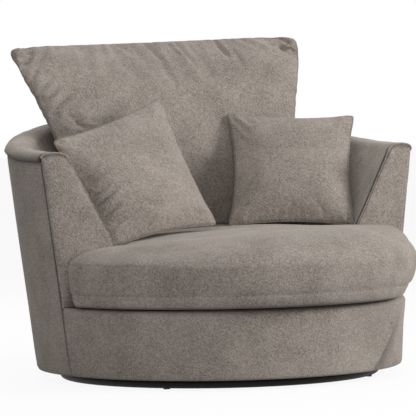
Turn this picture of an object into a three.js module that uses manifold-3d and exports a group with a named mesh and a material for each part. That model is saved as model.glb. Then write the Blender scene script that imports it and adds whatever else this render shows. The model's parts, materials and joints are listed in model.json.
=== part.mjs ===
// A swivel cuddle chair: a round upholstered tub on a ball race and a steel floor ring,
// with a loose seat cushion, a loose back cushion and two scatter cushions.
// Millimetres, +Z up, front towards -Y, origin on the swivel axis at floor level.
import * as THREE from "three";
import { mergeVertices } from "three/addons/utils/BufferGeometryUtils.js";
import Module from "manifold-3d";

const wasm = await Module();
wasm.setup();

// Gap between pieces that rest on one another.
const seatGap = 0.3;

// Radius of the tub over its rim, which sizes the whole chair.
const rimRadius = 618;

// How far other pieces stay in from the rim, so that they follow the tub's size.
const rimRoom = {
  hem: 78,
  ring: 155.5,
  baseHole: 238,
  front: 65,
  springOpening: 332,
  springFront: 87,
  backTop: 121,
  backFoot: 290,
  backBow: 354,
  seatFront: 6,
  seatNose: 55,
  seatEar: 57,
};

// The tub's wall leans out from the hem to the rim and is open at the front.
const tub = {
  centreY: 13,
  hemHeight: 30,
  hemRadius: rimRadius - rimRoom.hem,
  rimRadius,
  rimHeightAtArms: 662,
  rimHeightAtBack: 761,
  rollWidth: 80,
  rollHeight: 14,
  rollDropShare: 0.75,
  seatLineHeight: 430,
  innerSlope: 0.5,
  lowerInnerSlope: 0.21,
  armFrontY: -97,
  armFrontTurn: THREE.MathUtils.degToRad(6),
};

// Fabric, foam and panels of the wall, from the outside in.
const wall = {
  coverThickness: 5,
  seamGap: 3,
  rollPadding: 12,
  facePadding: 20,
  panelThickness: 4,
  stationCount: 26,
};

// The padded panel that closes each arm's front.
const facing = { thickness: 9, edgeRoll: 3, crown: 3, edgeShare: 0.95, crownShare: 0.6 };

// The front below the seat: a curved fabric border over a bent panel.
const front = {
  reach: rimRadius - rimRoom.front,
  borderTop: 230,
  topRoll: 18,
  topRollShares: [
    [1 / 6, 1 / 2],
    [1 / 2, 1 / 6],
    [1, 0],
  ],
  panelThickness: 6,
  stationCount: 14,
};

// Timber: a base board, bearers, a seat board with an opening for the springs, uprights and rails.
const timber = {
  boardThickness: 18,
  baseBoardBottom: 34,
  baseBoardInset: 7,
  baseHoleRadius: rimRadius - rimRoom.baseHole,
  bearerWidth: 60,
  bearerHeight: 38,
  bearerSpacing: 200,
  bearerOverlap: 60,
  seatBoardTop: 204,
  springOpeningFront: rimRadius - rimRoom.springFront,
  uprightDepth: 22,
  uprightWidth: 45,
  postDepth: 32,
  postPlaceShare: 1.5,
  topRailWidth: 38,
  topRailThickness: 18,
  topRailDrop: 9,
  topRailInset: 14,
};

// The spring opening keeps clear of the wall's foot.
const springOpeningRadius = rimRadius - rimRoom.springOpening;

// Sinuous springs run front to back over the opening and carry the deck pad and deck cloth.
const deck = {
  springWire: 4,
  springCount: 5,
  springSideRoom: 36,
  springLoopWidth: 44,
  springLoopCount: 9,
  springRise: 7,
  springBearing: 18,
  padThickness: 15,
  clothThickness: 3,
  frontInset: 20,
  edgePlay: 1,
};

// Distance between the springs, which share the width of the opening.
const springSpacing = (2 * (springOpeningRadius - deck.springSideRoom)) / deck.springCount;

// The dark lining under the base board, open round the swivel.
const lining = { thickness: 1, plateGap: 22 };

// The floor ring, its cross bars and glides.
const base = {
  ringRadius: rimRadius - rimRoom.ring,
  tubeDiameter: 28,
  ringClearance: 2,
  barWidth: 40,
  barHeight: 20,
  barWall: 2,
  glideDiameter: 20,
  glideHeight: 9,
  glideCount: 4,
};

// The swivel: two pressed plates with facing grooves, balls between them and a cage.
const swivel = {
  plateRadius: 150,
  plateHole: 60,
  plateThickness: 3,
  raceRadius: 120,
  raceHalfWidth: 12,
  raceFlank: 4,
  raceRise: 7.2,
  ballDiameter: 12,
  ballCount: 8,
  ballGap: 0.5,
  ballHeightAbovePlate: 9.7,
  cageThickness: 2.8,
  cageHalfWidth: 11,
  cageHoleGap: 0.4,
  segmentCount: 48,
};

// The seat cushion: a crowned pad with ears that spread in front of the arms.
const seat = {
  halfWidth: rimRadius - rimRoom.seatNose,
  frontReach: rimRadius - rimRoom.seatFront,
  ellipseCentreY: -75,
  earAngle: THREE.MathUtils.degToRad(74),
  earHalfWidth: rimRadius - rimRoom.seatEar,
  earCorner: 60,
  edgeHeight: 117,
  crown: 94,
  rearFall: 8,
  leftSagShare: 0.48,
  rightSagShare: 0.18,
  sagFromX: 150,
  frontCrownRun: 230,
  tongueCrownRun: 115,
  hubY: -230,
  underRoll: 38,
  seamRise: 38,
  seamInset: 12,
  bulgeRise: 72,
  bulgeInset: 2,
  wallGap: 2,
  runPower: 2.3,
  crownPower: 1 / 1.7,
};

// Where the back cushion stands, from the front to the back of the tub.
const backFootShare = 0.2427;
const backFootY = rimRadius * backFootShare;

// The back cushion: a full pillow, wider at the top, bowed round the tub and leaning back.
const back = {
  topWidth: 2 * (rimRadius - rimRoom.backTop),
  bottomWidth: 2 * (rimRadius - rimRoom.backFoot),
  height: 618,
  halfThickness: 126,
  lean: THREE.MathUtils.degToRad(22),
  bow: rimRadius - rimRoom.backBow - backFootY,
  footY: backFootY,
  tilt: THREE.MathUtils.degToRad(1.2),
  sidePullShare: 0,
  topPullShare: 0.01,
  cornerShare: 0.965,
  cornerPower: 10,
  cornerShifts: { footLeft: [0, 0], footRight: [0, 0], topLeft: [-4, -3], topRight: [0, 3] },
};

// The two scatter cushions, each a square pillow that leans on the back cushion.
const scatter = {
  size: 390,
  halfThickness: 60,
  pullShare: 0.07,
  cornerShare: 0.97,
  cornerPower: 24,
};
const scatterPlaces = [
  {
    side: "right",
    sign: 1,
    rimRoom: 331,
    ahead: 80,
    turn: -25,
    lean: 31,
    roll: -1,
    cornerShifts: { footLeft: [0, 0], footRight: [0, 0], topLeft: [-3, 14], topRight: [6, 3] },
  },
  {
    side: "left",
    sign: -1,
    rimRoom: 375,
    ahead: 114,
    turn: 4,
    lean: 31,
    roll: 15,
    cornerShifts: { footLeft: [-8, 0], footRight: [-14, -34], topLeft: [-8, -22], topRight: [14, 12] },
  },
];

// Cushion making: cover cloth, the play between cover and filling, and the zip slot.
const cushion = {
  coverThickness: 4,
  fillPlay: 1,
  emptyCornerShare: 0.03,
  zipShare: 0.5,
  restGap: 0.3,
  swellPower: 2.2,
  edgePower: 0.62,
};

const fabric = (name) =>
  new THREE.MeshStandardMaterial({ name, color: 0x978f86, roughness: 0.95, metalness: 0 });
const foam = () =>
  new THREE.MeshStandardMaterial({ name: "foam", color: 0xe8dfc2, roughness: 0.9, metalness: 0 });
const fibre = () =>
  new THREE.MeshStandardMaterial({ name: "fibre", color: 0xf3f1ec, roughness: 1, metalness: 0 });
const wood = () =>
  new THREE.MeshStandardMaterial({ name: "wood", color: 0xc9a878, roughness: 0.75, metalness: 0 });
const blackSteel = () =>
  new THREE.MeshStandardMaterial({ name: "steel", color: 0x1b1917, roughness: 0.4, metalness: 0.6 });
const brightSteel = () =>
  new THREE.MeshStandardMaterial({ name: "zinc", color: 0xb8bcc0, roughness: 0.35, metalness: 1 });
const plastic = () =>
  new THREE.MeshStandardMaterial({ name: "plastic", color: 0x151515, roughness: 0.6, metalness: 0 });
const blackCloth = () =>
  new THREE.MeshStandardMaterial({ name: "lining", color: 0x1d1c1b, roughness: 0.95, metalness: 0 });

// Helpers for meshes

function mergedPositions(geometry) {
  const bare = geometry.index ? geometry.toNonIndexed() : geometry.clone();
  bare.deleteAttribute("normal");
  bare.deleteAttribute("uv");
  return mergeVertices(bare);
}

function signedVolume(geometry) {
  const place = geometry.attributes.position;
  const index = geometry.index;
  const corners = [new THREE.Vector3(), new THREE.Vector3(), new THREE.Vector3()];
  let volume = 0;
  for (let i = 0; i < index.count; i += 3) {
    corners.forEach((corner, k) => corner.fromBufferAttribute(place, index.getX(i + k)));
    volume += corners[0].dot(corners[1].clone().cross(corners[2])) / 6;
  }
  return volume;
}

// Turns every face round where the form was wound inwards.
function facingOut(geometry) {
  const merged = mergedPositions(geometry);
  if (signedVolume(merged) < 0) {
    const order = Array.from(merged.index.array);
    for (let i = 0; i < order.length; i += 3) {
      [order[i + 1], order[i + 2]] = [order[i + 2], order[i + 1]];
    }
    merged.setIndex(order);
  }
  merged.computeVertexNormals();
  return merged;
}

function geometryOf(points, faces) {
  const geometry = new THREE.BufferGeometry();
  geometry.setAttribute(
    "position",
    new THREE.Float32BufferAttribute(points.flatMap((p) => [p.x, p.y, p.z]), 3),
  );
  geometry.setIndex(faces.flat());
  return facingOut(geometry);
}

const fan = (cell) => cell.slice(2).map((corner, i) => [cell[0], cell[i + 1], corner]);

// A closed solid from a closed net of cells.
const solidFrom = (cells, points) => geometryOf(points, cells.flatMap(fan));

// A sheet of cloth or board between two nets with the same cells. The edges of the net, and of
// any cells left open, are closed by strips between the two faces.
function sheetFrom(cells, outer, inner, isOpen = () => false) {
  const kept = cells.filter((cell, i) => !isOpen(i));
  const sides = new Map();
  kept.forEach((cell) =>
    cell.forEach((from, k) => {
      const to = cell[(k + 1) % cell.length];
      sides.set(`${from} ${to}`, [from, to]);
    }),
  );
  const rims = [...sides.values()].filter(([from, to]) => !sides.has(`${to} ${from}`));
  const shift = outer.length;
  const faces = [
    ...kept.flatMap(fan),
    ...kept.flatMap(fan).map(([a, b, c]) => [a + shift, c + shift, b + shift]),
    ...rims.flatMap(([from, to]) => fan([to, from, from + shift, to + shift])),
  ];
  return geometryOf([...outer, ...inner], faces);
}

// The cells of a grid of points, numbered station by station.
function gridCells(stations, rows) {
  const cells = [];
  for (let i = 0; i < stations - 1; i += 1) {
    for (let j = 0; j < rows - 1; j += 1) {
      const corner = i * rows + j;
      cells.push([corner, corner + rows, corner + rows + 1, corner + 1]);
    }
  }
  return cells;
}

// A solid lofted through rings of points, closed by a flat cap at each end.
function loft(rings) {
  const count = rings[0].length;
  const cells = [];
  for (let i = 0; i < rings.length - 1; i += 1) {
    for (let j = 0; j < count; j += 1) {
      const next = (j + 1) % count;
      cells.push([i * count + j, i * count + next, (i + 1) * count + next, (i + 1) * count + j]);
    }
  }
  const last = (rings.length - 1) * count;
  cells.push([...Array(count).keys()].reverse());
  cells.push([...Array(count).keys()].map((j) => last + j));
  return solidFrom(cells, rings.flat());
}

function board(outline, bottom, thickness, holes = []) {
  const shape = new THREE.Shape(outline);
  holes.forEach((hole) => shape.holes.push(new THREE.Path(hole)));
  const slab = new THREE.ExtrudeGeometry(shape, { depth: thickness, bevelEnabled: false });
  return facingOut(slab.translate(0, 0, bottom));
}

// A turned piece from a profile of radius and height that closes on itself.
function turned(profile, segments) {
  const ring = [...profile, profile[0]].map(([radius, height]) => new THREE.Vector2(radius, height));
  return facingOut(new THREE.LatheGeometry(ring, segments).rotateX(Math.PI / 2));
}

function circlePoints(radius, count, centreY = 0) {
  return [...Array(count).keys()].map((i) => {
    const angle = (2 * Math.PI * i) / count;
    return new THREE.Vector2(radius * Math.cos(angle), centreY + radius * Math.sin(angle));
  });
}

function manifoldOf(geometry) {
  const merged = facingOut(geometry);
  return new wasm.Manifold(
    new wasm.Mesh({
      numProp: 3,
      vertProperties: new Float32Array(merged.attributes.position.array),
      triVerts: new Uint32Array(merged.index.array),
    }),
  );
}

// What is left of one geometry when others are cut from it.
function cut(geometry, ...tools) {
  const left = tools.reduce((solid, tool) => solid.subtract(manifoldOf(tool)), manifoldOf(geometry));
  const mesh = left.getMesh();
  const result = new THREE.BufferGeometry();
  result.setAttribute("position", new THREE.BufferAttribute(mesh.vertProperties, 3));
  result.setIndex(new THREE.BufferAttribute(mesh.triVerts, 1));
  return facingOut(result);
}

const shares = (count) => [...Array(count).keys()].map((i) => i / (count - 1));
const spread = (count) => shares(count).map((share) => 2 * share - 1);

// The form of the wall

// Distance from the tub's centre back to the cut plane of the arms, along the swivel's Y.
const armPlaneDrop = () =>
  tub.centreY + Math.tan(tub.armFrontTurn) * tub.rimRadius - tub.armFrontY;

// Angle at which a circle of this radius about the tub's centre meets the arms' cut plane, or
// a plane that lies this far ahead of it.
function endAngle(radius, ahead = 0) {
  const run = armPlaneDrop() * Math.cos(tub.armFrontTurn) + ahead;
  return Math.acos(-run / radius) - tub.armFrontTurn;
}

function rimHeight(share) {
  const rise = (1 + Math.cos(Math.PI * share)) / 2;
  return tub.rimHeightAtArms + (tub.rimHeightAtBack - tub.rimHeightAtArms) * rise;
}

function outerRadius(height, share) {
  const lean = (tub.rimRadius - tub.hemRadius) / (rimHeight(share) - tub.hemHeight);
  return tub.hemRadius + lean * (height - tub.hemHeight);
}

const rollDrop = () => tub.rollHeight * tub.rollDropShare;
const rimInnerRadius = () => tub.rimRadius - tub.rollWidth;

function innerRadius(height, share) {
  const faceTop = rimHeight(share) - rollDrop();
  const above = Math.max(height, tub.seatLineHeight);
  const below = Math.min(height - tub.seatLineHeight, 0);
  return rimInnerRadius() - tub.innerSlope * (faceTop - above) + tub.lowerInnerSlope * below;
}

// A point of the wall: share runs from -1 at the left arm's front to 1 at the right arm's.
function wallPoint(radius, height, share, ahead = 0) {
  const angle = share * endAngle(radius, ahead);
  return new THREE.Vector3(
    radius * Math.sin(angle),
    tub.centreY + radius * Math.cos(angle),
    height,
  );
}

// The inside cover's line over the roll and down the inner face, as radius and height.
function innerLine(share, bottom) {
  const top = rimHeight(share);
  const rollShares = [
    [0, 0],
    [0.04, 0.5],
    [0.26, 0.93],
    [0.5, 1],
    [0.76, 0.72],
    [0.93, 0.05],
  ];
  const roll = rollShares.map(([across, up]) => [
    tub.rimRadius - across * tub.rollWidth,
    top + up * tub.rollHeight,
  ]);
  const faceTop = top - rollDrop();
  const face = [faceTop, tub.seatLineHeight, bottom].map((z) => [innerRadius(z, share), z]);
  return [...roll, ...face];
}

// The same line moved into the wall by a depth given for each point.
function sunkLine(line, depths) {
  return line.map(([radius, height], i) => {
    const before = line[Math.max(i - 1, 0)];
    const after = line[Math.min(i + 1, line.length - 1)];
    const along = new THREE.Vector2(after[0] - before[0], after[1] - before[1]).normalize();
    const depth = Array.isArray(depths) ? depths[i] : depths;
    const atFoot = i === line.length - 1;
    const across = atFoot ? new THREE.Vector2(1, 0) : new THREE.Vector2(-along.y, along.x);
    return [radius + across.x * depth, height + across.y * depth];
  });
}

function wallSheet(lineAt, stationCount = wall.stationCount) {
  const outer = [];
  const inner = [];
  let rows = 0;
  spread(stationCount).forEach((share) => {
    const [near, far] = lineAt(share);
    rows = near.length;
    near.forEach(([radius, height]) => outer.push(wallPoint(radius, height, share)));
    far.forEach(([radius, height]) => inner.push(wallPoint(radius, height, share)));
  });
  return sheetFrom(gridCells(stationCount, rows), outer, inner);
}

// The form of the front border

const borderMiddle = () => (tub.hemHeight + front.borderTop) / 2;

function frontCircle(height) {
  const corner = wallPoint(outerRadius(height, 1), height, 1);
  const square = corner.x ** 2 + corner.y ** 2 - front.reach ** 2;
  const centreY = square / (2 * (front.reach + corner.y));
  return { centreY, radius: centreY + front.reach };
}

// A point of the front, set in from its face and kept ahead of the arms' cut plane.
function frontPoint(share, height, inset, ahead = seatGap) {
  const circle = frontCircle(height);
  const radius = circle.radius - inset;
  const run = (circle.centreY + armPlaneDrop() - tub.centreY) * Math.cos(tub.armFrontTurn);
  const end = tub.armFrontTurn + Math.acos((run + ahead) / radius);
  return new THREE.Vector3(
    radius * Math.sin(share * end),
    circle.centreY - radius * Math.cos(share * end),
    height,
  );
}

// The chair's outline at a height, set in: the front arc, then round the wall.
function footprint(height, inset) {
  const round = spread(front.stationCount).map((share) => frontPoint(share, height, inset));
  const wallRadius = (share) => outerRadius(height, share) - inset;
  const rear = spread(wall.stationCount).map((share) =>
    wallPoint(wallRadius(share), height, -share),
  );
  return [...round, ...rear].map((p) => new THREE.Vector2(p.x, p.y));
}

// The deck's outline: the front arc, the arms' fronts and the inside of the wall.
function deckOutline(height, inset) {
  const round = spread(front.stationCount).map((share) =>
    frontPoint(share, height, deck.frontInset + inset),
  );
  const rear = spread(wall.stationCount).map((share) =>
    wallPoint(innerRadius(height, share) - inset, height, -share),
  );
  return [...round, ...rear].map((p) => new THREE.Vector2(p.x, p.y));
}

// Heights that pieces share

const ringCentre = base.ringClearance + base.tubeDiameter / 2;
const barTop = ringCentre + base.barHeight / 2;
const lowerPlateTop = barTop + seatGap + swivel.plateThickness;
const ballCentre = lowerPlateTop + swivel.ballHeightAbovePlate;
const upperPlateBottom = ballCentre + swivel.ballHeightAbovePlate;
const upperPlateTop = upperPlateBottom + swivel.plateThickness;
const baseBoardTop = timber.baseBoardBottom + timber.boardThickness;
const seatBoardBottom = timber.seatBoardTop - timber.boardThickness;
const springHeight = timber.seatBoardTop + seatGap + deck.springWire / 2;
const padBottom = springHeight + deck.springRise + deck.springWire / 2 + seatGap;
const clothBottom = padBottom + deck.padThickness + seatGap;
const deckTop = clothBottom + deck.clothThickness;
const coverFoot = timber.seatBoardTop + seatGap;

// Base

function makeRingTube(extra = 0) {
  const tube = new THREE.TorusGeometry(base.ringRadius, base.tubeDiameter / 2 + extra, 10, 48);
  return facingOut(tube.translate(0, 0, ringCentre));
}

// A square tube along X, open at its ends, which are coped to the round of the floor ring.
function makeCrossBar(from, to) {
  const length = to - from;
  const middle = (from + to) / 2;
  const outside = new THREE.BoxGeometry(length, base.barWidth, base.barHeight);
  const bore = new THREE.BoxGeometry(
    length + base.barWidth,
    base.barWidth - 2 * base.barWall,
    base.barHeight - 2 * base.barWall,
  );
  const place = (box) => box.translate(middle, 0, ringCentre);
  return cut(place(outside), place(bore), makeRingTube(seatGap));
}

function makeGlide(angle) {
  const disc = new THREE.CylinderGeometry(
    base.glideDiameter / 2,
    base.glideDiameter / 2,
    base.glideHeight,
    16,
  );
  disc.rotateX(Math.PI / 2);
  disc.translate(base.ringRadius, 0, base.glideHeight / 2);
  disc.rotateZ(angle);
  return cut(disc, makeRingTube(seatGap));
}

// Half of a pressed plate's profile, from its hole to its rim, lying on z = 0.
function plateProfile() {
  const groove = swivel.ballDiameter / 2 + swivel.ballGap;
  const rise = swivel.raceRise;
  const race = swivel.raceRadius;
  const depth = swivel.ballHeightAbovePlate - rise;
  const halfMouth = Math.sqrt(groove ** 2 - depth ** 2);
  const mouthAngle = Math.atan2(-depth, -halfMouth);
  const arc = shares(5).map((share) => {
    const angle = mouthAngle + share * (-Math.PI - 2 * mouthAngle);
    return [race + groove * Math.cos(angle), swivel.ballHeightAbovePlate + groove * Math.sin(angle)];
  });
  return [
    [swivel.plateHole, 0],
    [race - swivel.raceHalfWidth - swivel.raceFlank, 0],
    [race - swivel.raceHalfWidth, rise],
    ...arc,
    [race + swivel.raceHalfWidth, rise],
    [race + swivel.raceHalfWidth + swivel.raceFlank, 0],
    [swivel.plateRadius, 0],
  ];
}

function makePlate(level, up) {
  const face = plateProfile().map(([radius, height]) => [radius, level + up * height]);
  const rear = level - up * swivel.plateThickness;
  return turned([...face, [swivel.plateRadius, rear], [swivel.plateHole, rear]], swivel.segmentCount);
}

function makeBall(angle) {
  const ball = new THREE.SphereGeometry(swivel.ballDiameter / 2, 8, 6);
  ball.translate(swivel.raceRadius, 0, ballCentre);
  return facingOut(ball.rotateZ(angle));
}

function makeCage() {
  const ring = board(
    circlePoints(swivel.raceRadius + swivel.cageHalfWidth, swivel.segmentCount),
    ballCentre - swivel.cageThickness / 2,
    swivel.cageThickness,
    [circlePoints(swivel.raceRadius - swivel.cageHalfWidth, swivel.segmentCount)],
  );
  const holes = ballAngles().map((angle) => {
    const radius = swivel.ballDiameter / 2 + swivel.cageHoleGap;
    const pin = new THREE.CylinderGeometry(radius, radius, swivel.ballDiameter, 12);
    pin.rotateX(Math.PI / 2);
    return pin.translate(swivel.raceRadius, 0, ballCentre).rotateZ(angle);
  });
  return cut(ring, ...holes);
}

const ballAngles = () =>
  [...Array(swivel.ballCount).keys()].map((i) => (2 * Math.PI * i) / swivel.ballCount);

// Timber frame

function makeBaseBoard() {
  const outline = footprint(timber.baseBoardBottom, timber.baseBoardInset);
  const hole = circlePoints(timber.baseHoleRadius, wall.stationCount);
  return board(outline, timber.baseBoardBottom, timber.boardThickness, [hole]);
}

function makeBearer(side) {
  const y = (side * timber.bearerSpacing) / 2;
  const halfLength = Math.sqrt(timber.baseHoleRadius ** 2 - y ** 2) + timber.bearerOverlap;
  const beam = new THREE.BoxGeometry(2 * halfLength, timber.bearerWidth, timber.bearerHeight);
  const bottom = Math.max(upperPlateTop, baseBoardTop) + seatGap;
  return facingOut(beam.translate(0, y, bottom + timber.bearerHeight / 2));
}

// How far the flats of the round covers come in from their true radius.
const facetTurn = endAngle(tub.rimRadius) / (wall.stationCount - 1);
const facetSag = tub.rimRadius * (1 - Math.cos(facetTurn));

// How far the timber lies in from the outside of the wall.
const uprightInset = wall.coverThickness + facetSag + seatGap;
const seatBoardInset = uprightInset + timber.uprightDepth + 2 * seatGap;

function makeSeatBoard() {
  const frontInset = wall.coverThickness + front.panelThickness + 5 * seatGap;
  const level = seatBoardBottom;
  const round = spread(front.stationCount).map((share) => frontPoint(share, level, frontInset));
  const rear = spread(wall.stationCount).map((share) =>
    wallPoint(outerRadius(level, share) - seatBoardInset, level, -share),
  );
  const outline = [...round, ...rear].map((p) => new THREE.Vector2(p.x, p.y));
  const radius = springOpeningRadius;
  const arc = shares(wall.stationCount).map((share) => {
    const angle = share * Math.PI;
    return new THREE.Vector2(radius * Math.cos(angle), tub.centreY + radius * Math.sin(angle));
  });
  const square = [
    new THREE.Vector2(-radius, frontSquareY()),
    new THREE.Vector2(radius, frontSquareY()),
  ];
  return board(outline, seatBoardBottom, timber.boardThickness, [[...arc, ...square]]);
}

// Front edge of the spring opening, level across the chair where the outline still holds it.
const frontSquareY = () =>
  -Math.sqrt(timber.springOpeningFront ** 2 - springOpeningRadius ** 2);

// A timber stick that stands in the wall between two heights, leaning with it.
function makeStick(share, bottom, topAt, inset, depth) {
  const level = (height) => {
    const outer = outerRadius(height, share) - inset;
    const halfTurn = timber.uprightWidth / 2 / endAngle(outer) / outer;
    return [
      wallPoint(outer, height, share - halfTurn),
      wallPoint(outer, height, share + halfTurn),
      wallPoint(outer - depth, height, share + halfTurn),
      wallPoint(outer - depth, height, share - halfTurn),
    ];
  };
  return loft([level(bottom), level(topAt)]);
}

const topRailTop = (share) => rimHeight(share) - timber.topRailDrop;
const topRailBottom = (share) => topRailTop(share) - timber.topRailThickness;

function makeUpright(share) {
  const fall = rimHeight(share) - rimHeight(Math.abs(share) + 2 * uprightReach());
  const top = topRailBottom(share) - seatGap - fall;
  const depth = timber.uprightDepth;
  return makeStick(share, baseBoardTop + seatGap, top, uprightInset, depth);
}

// Half an upright's width as a share of the way round the wall.
const uprightReach = () => timber.uprightWidth / 2 / endAngle(tub.rimRadius) / tub.rimRadius;

function makePost(side) {
  const share = side * (1 - timber.postPlaceShare * uprightReach());
  const top = seatBoardBottom - seatGap;
  return makeStick(share, baseBoardTop + seatGap, top, uprightInset, timber.postDepth);
}

function makeTopRail() {
  const rings = spread(wall.stationCount).map((share) => {
    const outer = tub.rimRadius - timber.topRailInset;
    const inner = outer - timber.topRailWidth;
    const top = topRailTop(share);
    const bottom = topRailBottom(share);
    return [
      wallPoint(outer, bottom, share),
      wallPoint(outer, top, share),
      wallPoint(inner, top, share),
      wallPoint(inner, bottom, share),
    ];
  });
  return loft(rings);
}

// Depth from the inside cover's face to the frame side of the inner panel.
const panelDepth = wall.coverThickness + wall.facePadding + wall.panelThickness + 2 * seatGap;

// The board inside each arm's front, behind the facing.
function makeArmFrame(side) {
  const setIn = panelDepth * Math.hypot(1, tub.innerSlope) + seatGap;
  const foot = timber.seatBoardTop + seatGap;
  const bend = tub.seatLineHeight;
  const top = topRailBottom(1) - seatGap;
  const outline = [
    [outerRadius(foot, 1) - uprightInset, foot],
    [outerRadius(top, 1) - uprightInset, top],
    [Math.max(innerRadius(top, 1) + setIn, tub.rimRadius - tub.rollWidth), top],
    [innerRadius(bend, 1) + setIn, bend],
    [innerRadius(foot, 1) + setIn, foot],
  ];
  const ring = (behind) =>
    outline.map(([radius, height]) => wallPoint(radius, height, side, -behind));
  return loft([ring(seatGap), ring(timber.boardThickness)]);
}

function makeFrontPanel() {
  const rows = [baseBoardTop + seatGap, borderMiddle(), front.borderTop - front.topRoll];
  const near = wall.coverThickness + 2 * seatGap;
  const far = near + front.panelThickness;
  const outer = [];
  const inner = [];
  spread(front.stationCount).forEach((share) => {
    rows.forEach((height) => {
      outer.push(frontPoint(share, height, near));
      inner.push(frontPoint(share, height, far));
    });
  });
  return sheetFrom(gridCells(front.stationCount, rows.length), outer, inner);
}

// Deck

// A zig-zag wire that rises in the middle, lying on the seat board at both ends.
function makeSpring(x) {
  const rearY = tub.centreY + Math.sqrt(springOpeningRadius ** 2 - x ** 2);
  const from = frontSquareY() - deck.springBearing;
  const to = rearY + deck.springBearing;
  const stepsPerLoop = 6;
  const count = deck.springLoopCount * stepsPerLoop + 1;
  const points = shares(count).map((share) => {
    const wave = Math.sin(2 * Math.PI * share * deck.springLoopCount);
    const height = springHeight + deck.springRise * Math.sin(Math.PI * share);
    return new THREE.Vector3(
      x + (deck.springLoopWidth / 2) * wave,
      from + (to - from) * share,
      height,
    );
  });
  const wire = new THREE.Shape(circlePoints(deck.springWire / 2, 5));
  const path = new THREE.CatmullRomCurve3(points);
  const steps = count - 1;
  return facingOut(new THREE.ExtrudeGeometry(wire, { steps, extrudePath: path }));
}

const deckSheet = (bottom, thickness) =>
  board(deckOutline(padBottom, deck.edgePlay), bottom, thickness);
const makeDeckPad = () => deckSheet(padBottom, deck.padThickness);
const makeDeckCloth = () => deckSheet(clothBottom, deck.clothThickness);

// Padding and covers of the tub

// The inner face alone, sunk by a depth, with its top brought down under the top rail.
function sunkFace(share, depth) {
  const [high, bend, foot] = sunkLine(innerLine(share, coverFoot), depth).slice(-3);
  const top = topRailBottom(share) - wall.panelThickness;
  const part = (top - bend[1]) / (high[1] - bend[1]);
  return [[bend[0] + (high[0] - bend[0]) * part, top], bend, foot];
}

function makeInnerPanel() {
  const near = wall.coverThickness + wall.facePadding + 2 * seatGap;
  return wallSheet((share) => [
    sunkFace(share, near),
    sunkFace(share, near + wall.panelThickness),
  ]);
}

function makeTubPadding() {
  const skin = wall.coverThickness + seatGap;
  return wallSheet((share) => {
    const line = innerLine(share, coverFoot);
    const depths = line.map((point, i) =>
      i < line.length - 3 ? skin + wall.rollPadding : skin + wall.facePadding,
    );
    return [sunkLine(line, skin).slice(1), sunkLine(line, depths).slice(1)];
  });
}

function makeInsideCover() {
  return wallSheet((share) => {
    const line = innerLine(share, coverFoot);
    return [line, sunkLine(line, wall.coverThickness)];
  });
}

function makeOutsideCover() {
  return wallSheet((share) => {
    const top = rimHeight(share) - wall.seamGap;
    const line = shares(4).map((part) => {
      const height = tub.hemHeight + (top - tub.hemHeight) * part;
      return [outerRadius(height, share), height];
    });
    return [line, line.map(([radius, height]) => [radius - wall.coverThickness, height])];
  });
}

// The facing fills the end of the wall, from the deck up over the roll, and swells forward.
function makeFacing(side) {
  const foot = deckTop + seatGap;
  const inside = innerLine(1, foot);
  const outsideShares = [0, 1 / 2];
  const outside = outsideShares.map((part) => {
    const height = foot + (rimHeight(1) - foot) * part;
    return [outerRadius(height, 1), height];
  });
  const outline = [...outside, ...inside];
  const middle = outline
    .reduce(([r, z], point) => [r + point[0], z + point[1]], [0, 0])
    .map((sum) => sum / outline.length);
  const ring = (ahead, share) =>
    outline.map(([radius, height]) => {
      const r = middle[0] + (radius - middle[0]) * share;
      const z = Math.max(middle[1] + (height - middle[1]) * share, foot);
      return wallPoint(r, z, side, ahead);
    });
  const edge = facing.thickness + seatGap;
  return loft([
    ring(seatGap, 1),
    ring(edge, 1),
    ring(edge + facing.edgeRoll, facing.edgeShare),
    ring(edge + facing.edgeRoll + facing.crown, facing.crownShare),
  ]);
}

function makeFrontBorder() {
  const roll = front.topRoll;
  const line = [
    [0, tub.hemHeight],
    [0, borderMiddle()],
    [0, front.borderTop - roll],
    ...front.topRollShares.map(([inShare, downShare]) => [
      roll * inShare,
      front.borderTop - roll * downShare,
    ]),
  ];
  const skin = wall.coverThickness;
  const inward = line.map(([inset, height], i) => {
    const turn = (Math.PI / 2) * Math.max(0, (i - 2) / (line.length - 3));
    return [inset + skin * Math.cos(turn), height - skin * Math.sin(turn)];
  });
  const outer = [];
  const inner = [];
  spread(front.stationCount).forEach((share) => {
    line.forEach(([inset, height]) => outer.push(frontPoint(share, height, inset)));
    inward.forEach(([inset, height]) => inner.push(frontPoint(share, height, inset)));
  });
  return sheetFrom(gridCells(front.stationCount, line.length), outer, inner);
}

function makeDustCover() {
  const bottom = timber.baseBoardBottom - seatGap - lining.thickness;
  const outline = footprint(timber.baseBoardBottom, timber.baseBoardInset);
  const hole = circlePoints(swivel.plateRadius + lining.plateGap, wall.stationCount);
  return board(outline, bottom, lining.thickness, [hole]);
}

// Seat cushion

// Distance that the facings and the play behind the ears take up ahead of the cut plane.
const earAhead =
  facing.thickness + facing.edgeRoll + facing.crown + 2 * seatGap + seat.wallGap;

function earLineY(x) {
  const slope = Math.tan(tub.armFrontTurn);
  const planeY = tub.centreY - armPlaneDrop() + slope * x;
  return planeY - earAhead / Math.cos(tub.armFrontTurn);
}

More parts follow.
